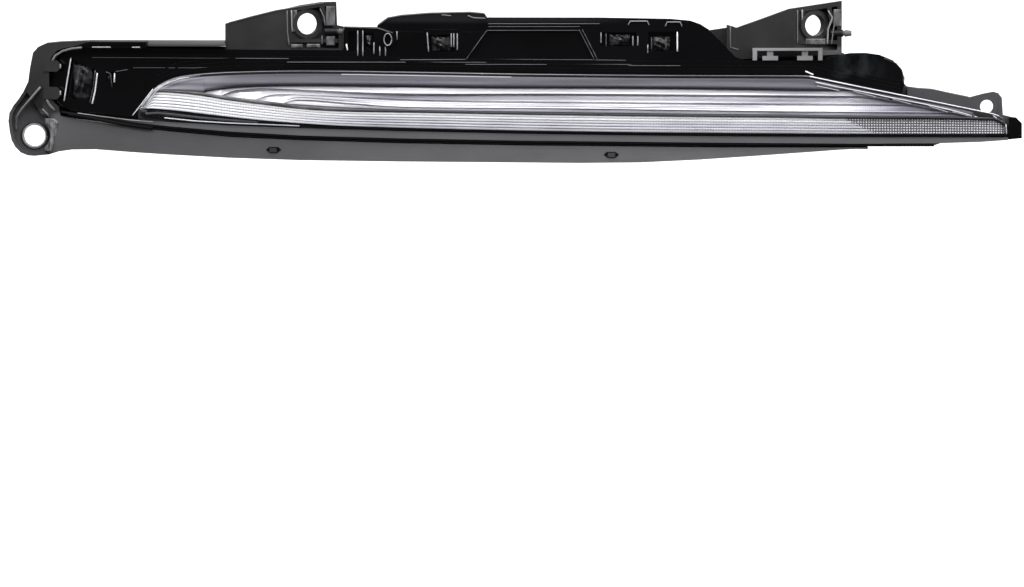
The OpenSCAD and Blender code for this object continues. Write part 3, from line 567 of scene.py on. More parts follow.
def ledge_edge(x):
    """Height of the ledge's lower edge, which meets the divider outboard and the slope inboard."""
    lowest = z_on(DIVIDER, x) + 0.1
    if x < FLUTE_LINES[0][0][0]:
        return lowest
    return max(min(z_on(FLUTE_LINES[0], x), z_on(LENS_TOP, x) - SLOPE_DROP), lowest)


def flute_edge(k, x):
    """Upper edge of flute k, which rises from the divider in a round nose and then follows its line."""
    floor = z_on(DIVIDER, x)
    if k == len(FLUTE_LINES):
        return floor
    line = FLUTE_LINES[k]
    run = unit((x - line[0][0] + NOSE_LEAD) / NOSE_LENGTH)
    rise = sqrt(1 - (1 - run) ** 2)
    return min(max(floor, lerp(floor, z_on(line, max(x, line[0][0])), rise)), ledge_edge(x))


def reflector_columns():
    """Columns of the reflector's skin: the ledge, its riser, then each hollow flute."""
    xs = []
    for start, end, pitch in REFLECTOR_PITCHES:
        xs += steps(start, end, pitch)[:-1]
    xs.append(REFLECTOR_PITCHES[-1][1])
    columns = []
    bands = []
    for x in xs:
        top = inside_lens(x)
        lowest = min(ledge_edge(x), top - 0.6)
        floor = min(z_on(DIVIDER, x), lowest)
        fine = FINE_DEPTH * sin(2 * pi * x / FINE_PITCH) if FINE_FLUTES[0] < x < FINE_FLUTES[1] else 0
        column = []
        kinds = []
        for v in LEDGE_ROWS:
            column.append(at(x, lerp(top, lowest + 0.25, v), LEDGE_DEPTH + LEDGE_FALL * (1 - v) ** 2))
            kinds.append(4 if v == 0 and LEDGE_LIT[0] < x < LEDGE_LIT[1] else 0)
        column.append(at(x, lowest + 0.2, LEDGE_DEPTH + LEDGE_FALL))
        # The ledge's foot and riser take the groove finish: painted shade under the ledge
        kinds[-1] = 2
        kinds.append(2)
        for k in range(len(FLUTE_LINES)):
            high = min(flute_edge(k, x), lowest)
            low = min(flute_edge(k + 1, x), lowest)
            width = min(1, max(high - low, 0) / FULL_FLUTE)
            for v in FLUTE_ROWS:
                hollow = FLUTE_HOLLOW[k] * sin(pi * v ** 0.62) * width + fine * width
                column.append(at(x, lerp(high, low, v), FLUTE_BACK[k] - FLUTE_LEAN[k] * v + hollow))
            kinds += FLUTE_FINISH[k]
        column.append(at(x, floor - 0.1, FLUTE_DEPTH + 1))
        columns.append(column)
        bands.append(kinds)
    return columns, bands


def reflector_piece():
    """Metallised reflector, given the thickness of its wall."""
    # These finishes paint the reflector's reflections, highlight and shade: bright and lilac flutes, dark
    # grooves and the ledge's lit top
    finishes = [ledge_metal(),
                flute_metal("flute_metal", (0.54, 0.53, 0.59), (0.87, 0.865, 0.91)),
                satin("groove_painted_shade", (0.02, 0.02, 0.026), (0.05, 0.049, 0.06), 0.4, 0.3),
                flute_metal("flute_lilac", (0.27, 0.265, 0.31), (0.7, 0.69, 0.76), (150, 185)),
                satin("ledge_lit", (0.2, 0.2, 0.23), (0.42, 0.42, 0.47), 0.3, 0.2)]
    mesh = grid_mesh("fluted_reflector", *reflector_columns())
    piece = shown(mesh, finishes, ("reflector",))
    wall = piece.modifiers.new("wall", "SOLIDIFY")
    wall.thickness = 1.2 * MM
    wall.offset = -1


def divider_bar():
    """Dark bar between the reflector and the lower optic, thick and mottled at the outer end."""
    columns = []
    for x in steps(60, 536, 3):
        half = z_on(DIVIDER_BAND, x) / 2
        middle = min(z_on(DIVIDER, x) - 0.1, z_on(LENS_TOP, x) - RIM_WALL - 0.5 - half)
        columns.append([at(x, middle + half * share, DIVIDER_FRONT + d) for share, d in DIVIDER_SECTION])
    mat = material("divider_grey", (0.05, 0.05, 0.055), 0.35)
    mottle = noise(mat, 150, stretch=(0.4, 1, 1.6))
    pale = ramp(mat, mottle, (0.035, 0.035, 0.04), (0.2, 0.2, 0.21), 0.38, 0.62)
    tone = blended(mat, by_place(mat, 140, 200), pale, (0.05, 0.05, 0.058))
    paint(mat, blended(mat, by_place(mat, 430, 485), tone, (0.008, 0.008, 0.011)))
    shown(grid_mesh("divider_bar", columns, closed=True), [mat])


PILLOW_PITCH = 1.5
PILLOW_ROWS = 6
OPTIC_START = 60
OPTIC_END = 536
# Depth of the optic's face and of its folded edges
OPTIC_FACE = OPTIC_DEPTH + 1.2
OPTIC_FOLD = OPTIC_DEPTH + 3


def optic_edges(x):
    """Upper and lower height of the lower optic, which dips below the thick part of the divider."""
    dip = 0.5 * unit((x - 80) / 20) * unit((230 - x) / 60)
    return min(z_on(DIVIDER, x) - 0.8 - dip, inside_lens(x)), z_on(OPTIC_BOTTOM, x) + 0.3


def pillow_strength(x):
    """How deep the cross grooves are: none at the outer end, clear before and after the long middle."""
    middle = unit((x - 150) / 30) * unit((345 - x) / 30)
    return 0.05 + 0.34 * unit((x - 84) / 12) * (1 - 0.8 * middle)


# Finish of each row of ribs and of the groove below it, as places in OPTIC_TONES: lighter upper rows and
# darker lower rows and grooves are painted light and shade
RIB_FINISH = [0, 0, 1, 1, 1, 2]
GROOVE_FINISH = [3, 4, 4, 5, 4, 5]
RIB_ROWS = (0.0, 0.14, 0.32, 0.5, 0.68, 0.8)
PER_PILLOW = 4
# Where the optic shows as light dots on grey, painted highlights on its pillows, and where dark dots, painted
# shade between pillows, break its grooves
DOTS_FROM = 448
DOT_ROWS = RIB_ROWS[1:4]
DARK_DOTS = ((88, 150), (330, 448))
# Name of each finish, its two mottled tones, its tone at the inner tip and its tone outboard; these tones
# paint the light and shade on the clear ribs
OPTIC_TONES = (
    ("optic_bright", (0.9, 0.9, 0.93), (0.98, 0.98, 1.0), (0.62, 0.62, 0.66), (0.98, 0.98, 1.0)),
    ("optic_mid", (0.54, 0.535, 0.59), (0.68, 0.675, 0.73), (0.52, 0.52, 0.57), (0.94, 0.94, 0.97)),
    ("optic_low", (0.35, 0.345, 0.39), (0.47, 0.465, 0.52), (0.4, 0.4, 0.44), (0.8, 0.8, 0.84)),
    ("groove_pale", (0.3, 0.3, 0.35), (0.4, 0.4, 0.45), (0.22, 0.22, 0.25), (0.45, 0.45, 0.5)),
    ("groove_mid", (0.13, 0.13, 0.16), (0.2, 0.2, 0.24), (0.1, 0.1, 0.12), (0.3, 0.3, 0.34)),
    ("groove_dark", (0.03, 0.03, 0.04), (0.06, 0.06, 0.075), (0.025, 0.025, 0.03)),
    ("optic_back", (0.1, 0.1, 0.12), (0.14, 0.14, 0.16), (0.11, 0.11, 0.125)))


def optic_kind(x, n, row, v):
    """Finish of one face of the optic."""
    if x > DOTS_FROM + 3 * row:
        return 0 if n % PER_PILLOW in (1, 2) and v in DOT_ROWS else 6
    if v != RIB_ROWS[-1]:
        return RIB_FINISH[row]
    if not any(low < x < high for low, high in DARK_DOTS):
        return GROOVE_FINISH[row]
    return 5 if n % PER_PILLOW == 0 else GROOVE_FINISH[row] - 1


def optic_piece():
    """Lower optic: rows of ribs, each broken into small pillows along the lamp."""
    columns = []
    bands = []
    for n, x in enumerate(steps(OPTIC_START, OPTIC_END, PILLOW_PITCH / PER_PILLOW)):
        high, low = optic_edges(x)
        pillow = sin(pi * (n % PER_PILLOW) / PER_PILLOW)
        strength = pillow_strength(x)
        column = [at(x, high, OPTIC_FOLD)]
        kinds = [5]
        for row in range(PILLOW_ROWS):
            for v in RIB_ROWS:
                swell = sin(pi * v) * (0.55 - strength * (1 - pillow))
                column.append(at(x, lerp(high, low, (row + v) / PILLOW_ROWS), OPTIC_FACE - swell))
                kinds.append(optic_kind(x, n, row, v))
        column += [at(x, low, OPTIC_FACE), at(x, low, OPTIC_FOLD)]
        kinds.append(5)
        columns.append(column)
        bands.append(kinds)
    tones = [optic_tone(*row) for row in OPTIC_TONES]
    shown(grid_mesh("pillow_strip", columns, bands), tones, ("pillow_optic",))


def end_band():
    """Pale band inside the lens's outer end, which frames the optics there; its pale mottled tone is a
    painted highlight that fades to dark inboard.
    """
    start = 59.4
    length = 32.6
    columns = []
    for x in steps(start, start + length, 1):
        high = z_on(LENS_TOP, x) - 0.6
        low = max(high - lerp(1.5, 1.1, (x - start) / length), z_on(OPTIC_BOTTOM, x) + 0.3)
        columns.append([at(x, max(high, low + 0.1), 5.4), at(x, low, 5.0), at(x, low, 6.4)])
    # Painted highlight: pale and mottled outboard, dark inboard
    mat = material("band_pale", (0.7, 0.7, 0.74), 0.25)
    mottle = noise(mat, 200, 3.0, stretch=(1, 1, 0.6))
    pale = ramp(mat, mottle, (0.35, 0.35, 0.39), (0.9, 0.9, 0.94), 0.38, 0.6)
    paint(mat, blended(mat, by_place(mat, 72, 92), pale, (0.12, 0.118, 0.14)))
    shown(grid_mesh("end_band", columns), [mat])


def lower_mask():
    """Gloss black infill between the lower optic and the rail, with the lens behind its lower rim."""
    front = OPTIC_DEPTH + 3.2
    lip = OPTIC_DEPTH + 3.6
    back = OPTIC_DEPTH + 4.8
    columns = []
    for x in steps(LENS_START + 1.5, LENS_END - 1.5, 4):
        low = z_on(RAIL_TOP, x) + 1.1
        high = max(min(z_on(OPTIC_BOTTOM, x) + 2, z_on(LENS_TOP, x) - 1.6), low + 0.2)
        columns.append([at(x, high, front), at(x, low, lip), at(x, low, back), at(x, high, back)])
    shown(grid_mesh("lower_mask", columns, closed=True), [gloss_black("mask_black")])


# Beads: thin raised edges that follow a line on the lamp's face; most carry a pale finish that is a painted
# highlight or glint on that edge

BEAD_PITCH = 3.0
BEAD_SIDES = 8
# How thin a bead's ends are, and how much of its first step they take up
BEAD_TAPER = 0.35
BEAD_END = 0.15
# Height where the ear's rib starts to come forward, the height it takes and how far it comes
RIB_FOOT = 6
RIB_CLIMB = 14
RIB_RISE = 7.2


def on_ear(x, z, y):
    """A point of the flat outer ear, whose front seat is at y 0."""
    return Vector((x, y, z)) * MM


def on_rib(x, z, y):
    """A point of the ear's long rib, which starts on the rim's front and comes down to the ear's seat."""
    return Vector((x, y - RIB_RISE * unit((z - RIB_FOOT) / RIB_CLIMB), z)) * MM


def bezel_face(x, z):
    """Depth of the bezel's face, which steps forward as it nears the lens."""
    above = z - z_on(LENS_TOP, x)
    for limit, depth in BEZEL_STEPS:
        if above < limit:
            return depth
    return PANEL_DEPTH


def circle(centre, half_width, half_height, sides):
    """A closed line round a centre."""
    turns = [2 * pi * i / sides for i in range(sides + 1)]
    return [(centre[0] + half_width * cos(a), centre[1] + half_height * sin(a)) for a in turns]


def add_bead(shell, line, depth, radius, proud, place):
    """Adds one bead to a mesh that is being built. The depth is a number or a rule."""
    turns = [2 * pi * i / BEAD_SIDES for i in range(BEAD_SIDES)]
    section = [(radius * cos(turn), proud * sin(turn)) for turn in turns]
    rings = []
    for i, (x, z) in enumerate(line):
        before, after = neighbours(line, i)
        length = dist(before, after)
        side = (-(after[1] - before[1]) / length, (after[0] - before[0]) / length)
        taper = BEAD_TAPER if i in (0, len(line) - 1) else 1.0
        back = depth(x, z) if callable(depth) else depth
        corners = [(x + side[0] * a * taper, z + side[1] * a * taper, back - b * taper) for a, b in section]
        rings.append([shell.verts.new(place(*corner)) for corner in corners])
    add_rings(shell, rings)


def refined(line):
    """The same line with more points along it and one close to each end."""
    points = []
    for a, b in zip(line, line[1:]):
        count = max(1, ceil(dist(a, b) / BEAD_PITCH))
        points += [between(a, b, i / count) for i in range(count)]
    points.append(line[-1])
    near_start = between(points[0], points[1], BEAD_END)
    near_end = between(points[-1], points[-2], BEAD_END)
    return [points[0], near_start] + points[1:-1] + [near_end, points[-1]]


def beads(name, lines, depth, radius, proud, mat, place=at):
    """One piece of beads, one along each line."""
    shell = bmesh.new()
    for line in lines:
        add_bead(shell, refined(line), depth, radius, proud, place)
    shown(shell_mesh(name, shell), [mat])


def uprights(*edges):
    """Upright lines, each from its x, top and foot."""
    return [[(x, top), (x, foot)] for x, top, foot in edges]


# Edges of the bezel's clip pockets, as lines in the front view, whose beads are painted highlights
POCKET_BRIGHT = [
    [(20.1, 42.8), (16.2, 18.9)], [(34.8, 34.8), (33.6, 25), (31.9, 17.4)], [(44.4, 34.7), (44.2, 29.3)],
    [(172.6, 51), (173.2, 47.4)], [(355.2, 57.7), (355.2, 46.7)]]
POCKET_FAINT = [
    [(33.7, 36.4), (32.4, 26), (30.6, 18)], [(39.4, 35.4), (42.1, 34.3), (43, 26.5)],
    [(44.9, 35.4), (51.9, 36.6)], [(171.8, 60.2), (190, 59.6), (198.3, 56.9)]]
POCKET_FAINT += uprights((315.9, 56.9, 49.4), (341, 54.7, 46.9), (349, 54.7, 47.2))
POCKET_EDGES = uprights(
    (178.9, 58.5, 44.2), (181.7, 58.5, 44.2), (187.8, 51.9, 45.3), (191.1, 49.7, 44.2), (194.2, 49.7, 44.2),
    (200.5, 58, 53), (230.5, 56.9, 49.2), (231.9, 56.9, 49.2), (233.8, 56.9, 47.5), (313.1, 57.4, 51.4),
    (330.7, 55.4, 49.9), (333.4, 55.4, 49.9), (338.9, 50.8, 45.8))
POCKET_EDGES += [
    [(217.2, 57.4), (218, 46.4)], [(328.1, 61.3), (329.2, 63.5), (338.6, 63.5), (339.7, 61.3)],
    [(348.5, 60.4), (349.6, 63), (356.8, 63), (357.9, 60.4)]]
PANEL_DEPTH = 16
BRACKET_DEPTH = 23.9
RIM_DEPTH = 8.9
# Depth of the bezel's face up to each height above the lens
BEZEL_STEPS = ((2.85, 10.6), (5.05, 12.4), (7.25, 14.2))
# Faint painted highlights along the bezel's steps and panel edges
PANEL_LINES = [
    [(54.7, 37.6), (88.9, 37.6), (96, 37.8)], [(32, 43.2), (60, 43.1), (141, 42.8)],
    [(139.7, 40.9), (202, 40.9), (250, 40.8)], [(250.2, 42.4), (309.5, 42.2)], [(309.5, 42.1), (327, 41.9)],
    [(238, 39.7), (330, 39.6)], [(328, 39), (357, 38.9)], [(202.1, 42.2), (238.6, 42.4)],
    [(238.6, 42.4), (250.2, 58.5)], [(300.9, 59.1), (309.5, 42.3)], [(302.7, 59.1), (311.2, 42.3)],
    [(250.2, 58.4), (300.9, 58.4)], [(250.7, 62.1), (312.6, 62.1)], [(250.7, 60.5), (301.6, 60.5)],
    [(469.5, 42.9), (476.1, 40.1), (479.4, 36.3), (480.4, 32), (480.2, 29.3)]]
# Edge of the dome over the middle, with the small clip on it, drawn as a grey painted highlight
DOME_LINES = [[(190, 61.3), (195.5, 65.3), (203.2, 66.7), (218.7, 67.9), (240.8, 68.4), (248.6, 67.7)],
              [(225, 66.9), (230.5, 66.4)], [(239.5, 66.6), (242.5, 65.3), (249.5, 64.9)]]
# Glints along the bottom of the outer rim's black cover
COVER_DASHES = [[(32, 49), (42.5, 49)], [(54.1, 49), (58.8, 49)]]
# Centre, half width and half height of the eyelet's ring
EYELET = ((195.5, 53.5), 2.1, 3.3)
# Bright painted highlights along the lens's sloped inner end: its edge and the short stubs below it
SLOPE_EDGE = [
    [(431.5, 29.9), (444, 27.1), (456.8, 24.7), (473.9, 21.1), (484.6, 19), (493.2, 17.3), (505.9, 14.4),
     (515.3, 11.9), (518.1, 10.9)]]
SLOPE_STUBS = [[(432, 27.9), (444.6, 25.2)], [(452, 24.9), (465, 21.7)], [(474, 20.6), (484.4, 17.6)],
               [(494, 16.6), (504.8, 13.2)], [(507, 13.4), (516.5, 10.9)]]
# Painted highlight along the lens's top edge: how far below the edge it runs and where it turns bright
LENS_LINE_DROP = 0.25
LENS_BRIGHT_FROM = 428
# Painted highlight inside the lens's outer edge
INNER_EDGE = [(62.3, 17.6), (65.2, 21.9), (68.2, 25.3), (71.4, 27.9), (75.4, 29.9), (80.2, 31.6), (86, 32.7)]
OPTIC_GLINT = [[(72, 10.2), (76.2, 9.7), (89.5, 8.4), (108.3, 7.3), (124.8, 6.7), (146.9, 5.8)]]
# Lit edges of the bays beside the bracket holes
BAY_EDGES = [[(139.8, 69.4), (140, 57.4), (140.9, 50)], [(421.8, 69.6), (421.8, 51)],
             [(157.9, 70.4), (160.2, 65.6), (160.8, 60.9)], [(159.1, 55.5), (159.1, 50.4)],
             [(443, 69), (442.5, 64.3), (441.4, 57), (440.6, 50.5)],
             [(384.6, 60.5), (384.6, 48.9), (389.2, 47.6)]]
BAY_BRIGHT = [[(142.2, 69.6), (142.7, 57.4)], [(424.4, 69.8), (424.6, 57.6)],
              [(438.7, 69.2), (441, 65.4), (440.7, 64), (438.7, 58.9), (438.3, 50.5)]]
# Raised pads beside the bracket holes, as x and z ranges; their pale tone is a painted highlight
BAY_PADS = [(161.5, 166.2, 50, 55), (161.4, 166.2, 60.8, 71.6), (142, 148.4, 48.6, 50.6),
            (150.6, 158, 48.8, 50.8), (441.8, 446.4, 60.4, 69.8), (426.4, 437.2, 50.4, 53.6),
            (143.2, 145.2, 57.6, 69.4)]
# Section of a pad, as inset and depth from its foot to its rounded top
PAD_SECTION = ((0, 25.2), (0, 23.8), (0.5, 23.4))
# Dark lips that close the seams under the rail, at the lens's inner corner and beside the outer bracket
SEAM_LIPS = [[(431, -5.95), (445, -6.15), (460.5, -6.4)], [(526, 0.2), (539, 0.3)],
             [(526, -0.8), (539, -0.7)], [(171.2, 60.4), (171.2, 46)]]
LIP_END = [(19, 12.2), (27, 10.9), (36.2, 9.1), (45.3, 7.4), (54.5, 5.9), (66, 4.4)]
BRACKET_RIDGE = [(107.4, 62.4), (120.4, 65.9), (133.7, 69.2), (146.9, 71.4), (160.2, 73.5)]
# Painted glint beside the lens's outer end
LENS_CORNER_GLINT = [(54.3, 11.2), (57.4, 15.2), (59.6, 18)]
WEDGE_GLOW = [(61.5, 12.4), (68, 12.8), (78, 11.9), (92, 10.3), (108, 8.9), (124, 7.9)]
# Glints at the ends of the lens: where its top bends down, and at the inner tip
END_GLINTS = [[(425.8, 35.9), (430.4, 33.9)]]
TIP_GLINTS = [[(529.6, 11.3), (531.8, 9.6)], [(536.9, 6.6), (537.2, 0.8)]]
RAIL_GLINT = [(24.2, 12.7), (28, 12.2), (36.5, 11), (53, 9), (66, 7.9)]
# Edge of the carrier's rim round the bezel's outer corner, and the light side of each catch, both drawn as
# painted highlights
RIM_EDGES = [[(9.6, 40.6), (11.6, 44.2), (15.7, 46.8), (20.7, 48.2), (26.6, 48.8)],
             [(6.8, 20.4), (8.2, 17.4), (11.3, 13.9)]]
CATCH_EDGES = uprights((14.5, 39.8, 37.2), (14.5, 25, 22.4))


def seam_depth(x, z):
    """Depth of the lip behind each seam."""
    if x < 200:
        return 20
    return 6.3 if x < 500 else 11.6


def bead_pieces():
    # Pale bead finishes are painted highlights and glints: edge_lit, edge_dim for faint ones, slope_bright,
    # rim_lit, bay_lit, ridge_grey and wedge_grey
    lit = satin("edge_lit", (0.08, 0.08, 0.085), (0.36, 0.36, 0.38), 0.2, 0.1)
    dim = satin("edge_dim", (0.012, 0.012, 0.014), (0.075, 0.075, 0.082), 0.2, 0.1)
    bright = satin("slope_bright", (0.66, 0.66, 0.7), (0.95, 0.95, 1.0), 0.15, 0.1)
    grey = moulded("rim_lit", (0.1, 0.1, 0.104), 0.32, 0.03)
    beads("pocket_edges", POCKET_EDGES, PANEL_DEPTH, 0.36, 1.1, lit)
    beads("pocket_bright", POCKET_BRIGHT, PANEL_DEPTH, 0.42, 1.1, bright)
    beads("pocket_faint", POCKET_FAINT, PANEL_DEPTH, 0.36, 0.8, dim)
    beads("panel_lines", PANEL_LINES, bezel_face, 0.28, 0.4, dim)
    beads("dome_edges", DOME_LINES, 21.9, 0.45, 0.5, grey)
    beads("cover_dashes", COVER_DASHES, RIM_DEPTH, 0.4, 0.4, lit)
    beads("slope_edges", SLOPE_EDGE, 6.6, 0.36, 0.5, bright)
    beads("slope_stubs", SLOPE_STUBS, 6.7, 0.2, 0.4, bright)
    beads("inner_edge", [INNER_EDGE], 5, 0.22, 0.4, bright)
    beads("lower_glint", OPTIC_GLINT, 8.3, 0.36, 0.5, bright)
    for name, x0, x1, radius, mat in (("lens_line", 60, LENS_BRIGHT_FROM, 0.18, lit),
                                      ("slope_line", LENS_BRIGHT_FROM, 533, 0.32, bright)):
        line = [(x, z_on(LENS_TOP, x) - LENS_LINE_DROP) for x in steps(x0, x1, 3)]
        beads(name, [line], 0.9, radius, 0.5, mat)
    beads("bay_edges", BAY_EDGES, BRACKET_DEPTH, 0.35, 0.5, grey)
    bay_lit = moulded("bay_lit", (0.2, 0.2, 0.21), 0.35, 0.03)
    lip_end = moulded("lip_end_rubber", (0.0025, 0.0025, 0.003), 0.6, specular=0.08)
    ridge = moulded("ridge_grey", (0.06, 0.06, 0.062), 0.4, 0.03)
    wedge = moulded("wedge_grey", (0.045, 0.045, 0.05), 0.4, 0.03, 0.5)
    beads("bay_bright", BAY_BRIGHT, BRACKET_DEPTH, 0.45, 0.6, bay_lit)
    beads("rail_glint", [RAIL_GLINT], 2.5, 0.3, 0.4, lit)
    beads("lip_end", [LIP_END], 2.6, 0.95, 0.5, lip_end)
    beads("bracket_ridge", [BRACKET_RIDGE], BRACKET_DEPTH, 0.4, 0.4, ridge)
    beads("lens_corner_glint", [LENS_CORNER_GLINT], 15.9, 0.26, 0.4, bright)
    beads("wedge_glow", [WEDGE_GLOW], 8.4, 0.7, 0.3, wedge)
    beads("end_glints", END_GLINTS, 10.5, 0.4, 0.5, bright)
    beads("tip_glints", TIP_GLINTS, 4, 0.3, 0.4, bright)
    beads("seam_lips", SEAM_LIPS, seam_depth, 0.75, 0.6, gloss_black("seam_black"))
    beads("rim_edges", RIM_EDGES, RIM_DEPTH, 0.7, 0.8, grey)
    beads("catch_edges", CATCH_EDGES, 7.9, 0.45, 0.4, lit)
    beads("eyelet", [circle(*EYELET, 24)], 13, 0.35, 0.5, lit)


def bay_pads():
    """Raised pads with rounded edges on the brackets, speckled and paler than the bracket as a painted
    highlight on their faces.
    """
    shell = bmesh.new()
    for x0, x1, z0, z1 in BAY_PADS:
        rings = []
        for inset, depth in PAD_SECTION:
            left, right, low, high = x0 + inset, x1 - inset, z0 + inset, z1 - inset
            corners = ((left, low), (right, low), (right, high), (left, high))
            rings.append([shell.verts.new(at(x, z, depth)) for x, z in corners])
        add_rings(shell, rings)
    # Pale speckled tone: grain with a painted highlight
    mat = speckled("pad_plastic", (0.025, 0.025, 0.027), (0.12, 0.12, 0.127), 0.4,
                   (420, 4.0, (1, 1, 0.4)), (0.36, 0.64), ((500, 3.0, (1, 1, 0.4)), 0.2, 0.0006))
    shown(shell_mesh("bay_pads", shell), [mat], smooth=False)


# Section of the rim's cover, as share of its height and depth
COVER_SECTION = ((0, 11), (0, RIM_DEPTH), (0.8, 8.4), (0.95, 8.6), (1, 9.2), (1, 14))


def rim_cover():
    """Gloss black cover that laps over the top of the carrier's rim and starts at a slant."""
    low = 48.6
    full = 52.8
    columns = []
    for x in steps(17, 63, 2):
        high = max(min(full, 47.4 + (x - 15.5) * 0.36), low + 0.15)
        columns.append([at(x, lerp(low, high, share), depth) for share, depth in COVER_SECTION])
    shown(grid_mesh("rim_cover", columns, closed=True), [gloss_black("cover_black")])


# Raised rib that runs from the rim down round the ear, and the short one beside it
EAR_RIB = [(3.6, 27.1), (-1.5, 21), (-7, 14.6), (-9.7, 10.5), (-10.4, 6.3), (-10.2, 3)]
SHORT_RIB = [(4.4, 14.9), (6.6, 12.6), (8.8, 10.4)]
# Radius, thickness and tone of the rings round the hole: the pale ring is a painted highlight on the collar,
# the near black one painted shade round it
HOLE_RINGS = ((6.35, 0.5, 0.3), (7.3, 0.55, 0.003))
COLLAR_R = 8.7
SKIRT_LEFT = 8.6
# Speckled patch beside the ear, paler as a painted highlight on its slope: its lowest point, height and
# depths behind the lamp's face
PATCH_FOOT = -8.4
PATCH_HEIGHT = 18
PATCH_FRONT = 4.9
PATCH_BACK = 5.8


def ear_pieces():
    """Ribs and rings on the outer ear, and the speckled patch that joins it to the skirt, with painted
    highlights on ribs, ring and patch and painted shade in the outer ring.
    """
    speckled_highlight = speckled("ear_plastic", (0.035, 0.035, 0.038), (0.17, 0.17, 0.178), 0.42,
                        (520, 4.0, (1, 1, 0.5)), (0.38, 0.62), ((400, 3.0), 0.2, 0.0005))
    # Pale rib finish: painted highlight along the ribs
    pale = moulded("ear_rib_plastic", (0.12, 0.12, 0.124), 0.36, 0.03)
    beads("ear_rib", [EAR_RIB], 0.2, 0.7, 1.2, pale, on_rib)
    beads("short_rib", [SHORT_RIB], -6.4, 0.5, 1.0, pale, on_ear)
    for n, (radius, thick, tone) in enumerate(HOLE_RINGS):
        ring = circle((0, 0), radius, radius, 40)
        mat = moulded(f"ring_{n}", (tone, tone, tone), 0.3, 0.03)
        beads(f"hole_ring_{n}", [ring], 0, thick, 0.6, mat, on_ear)
    columns = []
    for z in steps(PATCH_FOOT, PATCH_FOOT + PATCH_HEIGHT, 0.75):
        inner = max(sqrt(max(COLLAR_R ** 2 - z ** 2, 0)), 5.6)
        corner = max(inner + 0.4, SKIRT_LEFT + 0.5)
        widest = lerp(9.4, 14.4, (z - PATCH_FOOT) / PATCH_HEIGHT)
        outer = max(widest - max(z - 7.4, 0) * 1.4, corner + 0.5)
        middle = lerp(corner, outer, 0.5)
        front = bow_back(corner, PATCH_FRONT)
        ring = [(inner, 0.4)]
        ring += [(lerp(inner, corner, 1 - cos(pi / 2 * t)), lerp(0.2, front, sin(pi / 2 * t)))
                 for t in (0.15, 0.35, 0.55, 0.75, 0.9, 1.0)]
        ring += [(middle, bow_back(middle, 4.7)), (outer, bow_back(outer, PATCH_FRONT)),
                 (outer + 0.3, bow_back(outer, PATCH_BACK)), (corner + 0.2, bow_back(corner, PATCH_BACK)),
                 (corner + 0.2, 0.4)]
        columns.append([Vector((x, y, z)) * MM for x, y in ring])
    shown(grid_mesh("ear_fillet", columns, closed=True), [speckled_highlight])


# Wavy floors of the clip pockets, as x and z of the centre, half width and half height
TONGUES = [(26.6, 30, 5.6, 9.6), (41.4, 32, 1.6, 3.2), (224.6, 51.6, 5.6, 4.6), (323.4, 53.4, 6, 3.4),
           (346.6, 51.2, 5, 3.8), (184.8, 51.4, 1.8, 4.6)]
TONGUE_DEPTH = 19.4
TONGUE_WALL = 1.4
TONGUE_SWELL = 1.1
TONGUE_CELLS = 14


def tongue_pieces():
    """Low pads with a gently waved front, which break up the gloss; their lighter speckles paint mottled
    reflections.
    """
    shell = bmesh.new()
    shares = [2 * i / TONGUE_CELLS - 1 for i in range(TONGUE_CELLS + 1)]
    for middle_x, middle_z, half_width, half_height in TONGUES:
        rows = []
        for v in shares:
            row = []
            for u in shares:
                x = middle_x + half_width * u
                z = middle_z + half_height * v
                wave = 0.5 * sin(x * 1.3 + z * 0.4) * cos(z * 0.8 - x * 0.3) + 0.25 * sin(z * 2.1 + x)
                dome = TONGUE_SWELL * (1 - u * u) * (1 - v * v)
                row.append(shell.verts.new(at(x, z, TONGUE_DEPTH - dome * (1 + wave))))
            rows.append(row)
        for low, high in zip(rows, rows[1:]):
            for c in range(TONGUE_CELLS):
                shell.faces.new((low[c], low[c + 1], high[c + 1], high[c]))
        edge = rows[0] + [row[-1] for row in rows[1:]] + rows[-1][-2::-1] + [row[0] for row in rows[-2:0:-1]]
        foot = [shell.verts.new(Vector((p.co.x, p.co.y + TONGUE_WALL * MM, p.co.z))) for p in edge]
        for i in range(len(edge)):
            j = (i + 1) % len(edge)
            shell.faces.new((edge[i], edge[j], foot[j], foot[i]))
        shell.faces.new(foot)
    # Lighter speckles: painted mottled reflections on the pocket floors
    mat = speckled("gloss_painted_reflections", (0.002, 0.002, 0.0025), (0.05, 0.05, 0.056), 0.26,
                   (240, 5.0, (1, 1, 0.7)), (0.46, 0.7), ((210, 3.0, (1.4, 1, 0.5)), 0.4, 0.0012),
                   coat=0.1, specular=0.3)
    shown(shell_mesh("pocket_floors", shell), [mat])


# CAD nodes that stay, with their finishes

BEVEL_ANGLE = radians(35)


def dress(names, mat, bevel=0.25, segments=2):
    """Gives CAD nodes a finish and small rounded edges."""
    for name in names.split():
        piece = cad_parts[name]
        for slot in piece.material_slots:
            slot.material = mat
        if bevel:
            rounded = piece.modifiers.new("edges", "BEVEL")
            rounded.width = bevel * MM
            rounded.segments = segments
            rounded.limit_method = "ANGLE"
            rounded.angle_limit = BEVEL_ANGLE
            rounded.harden_normals = True


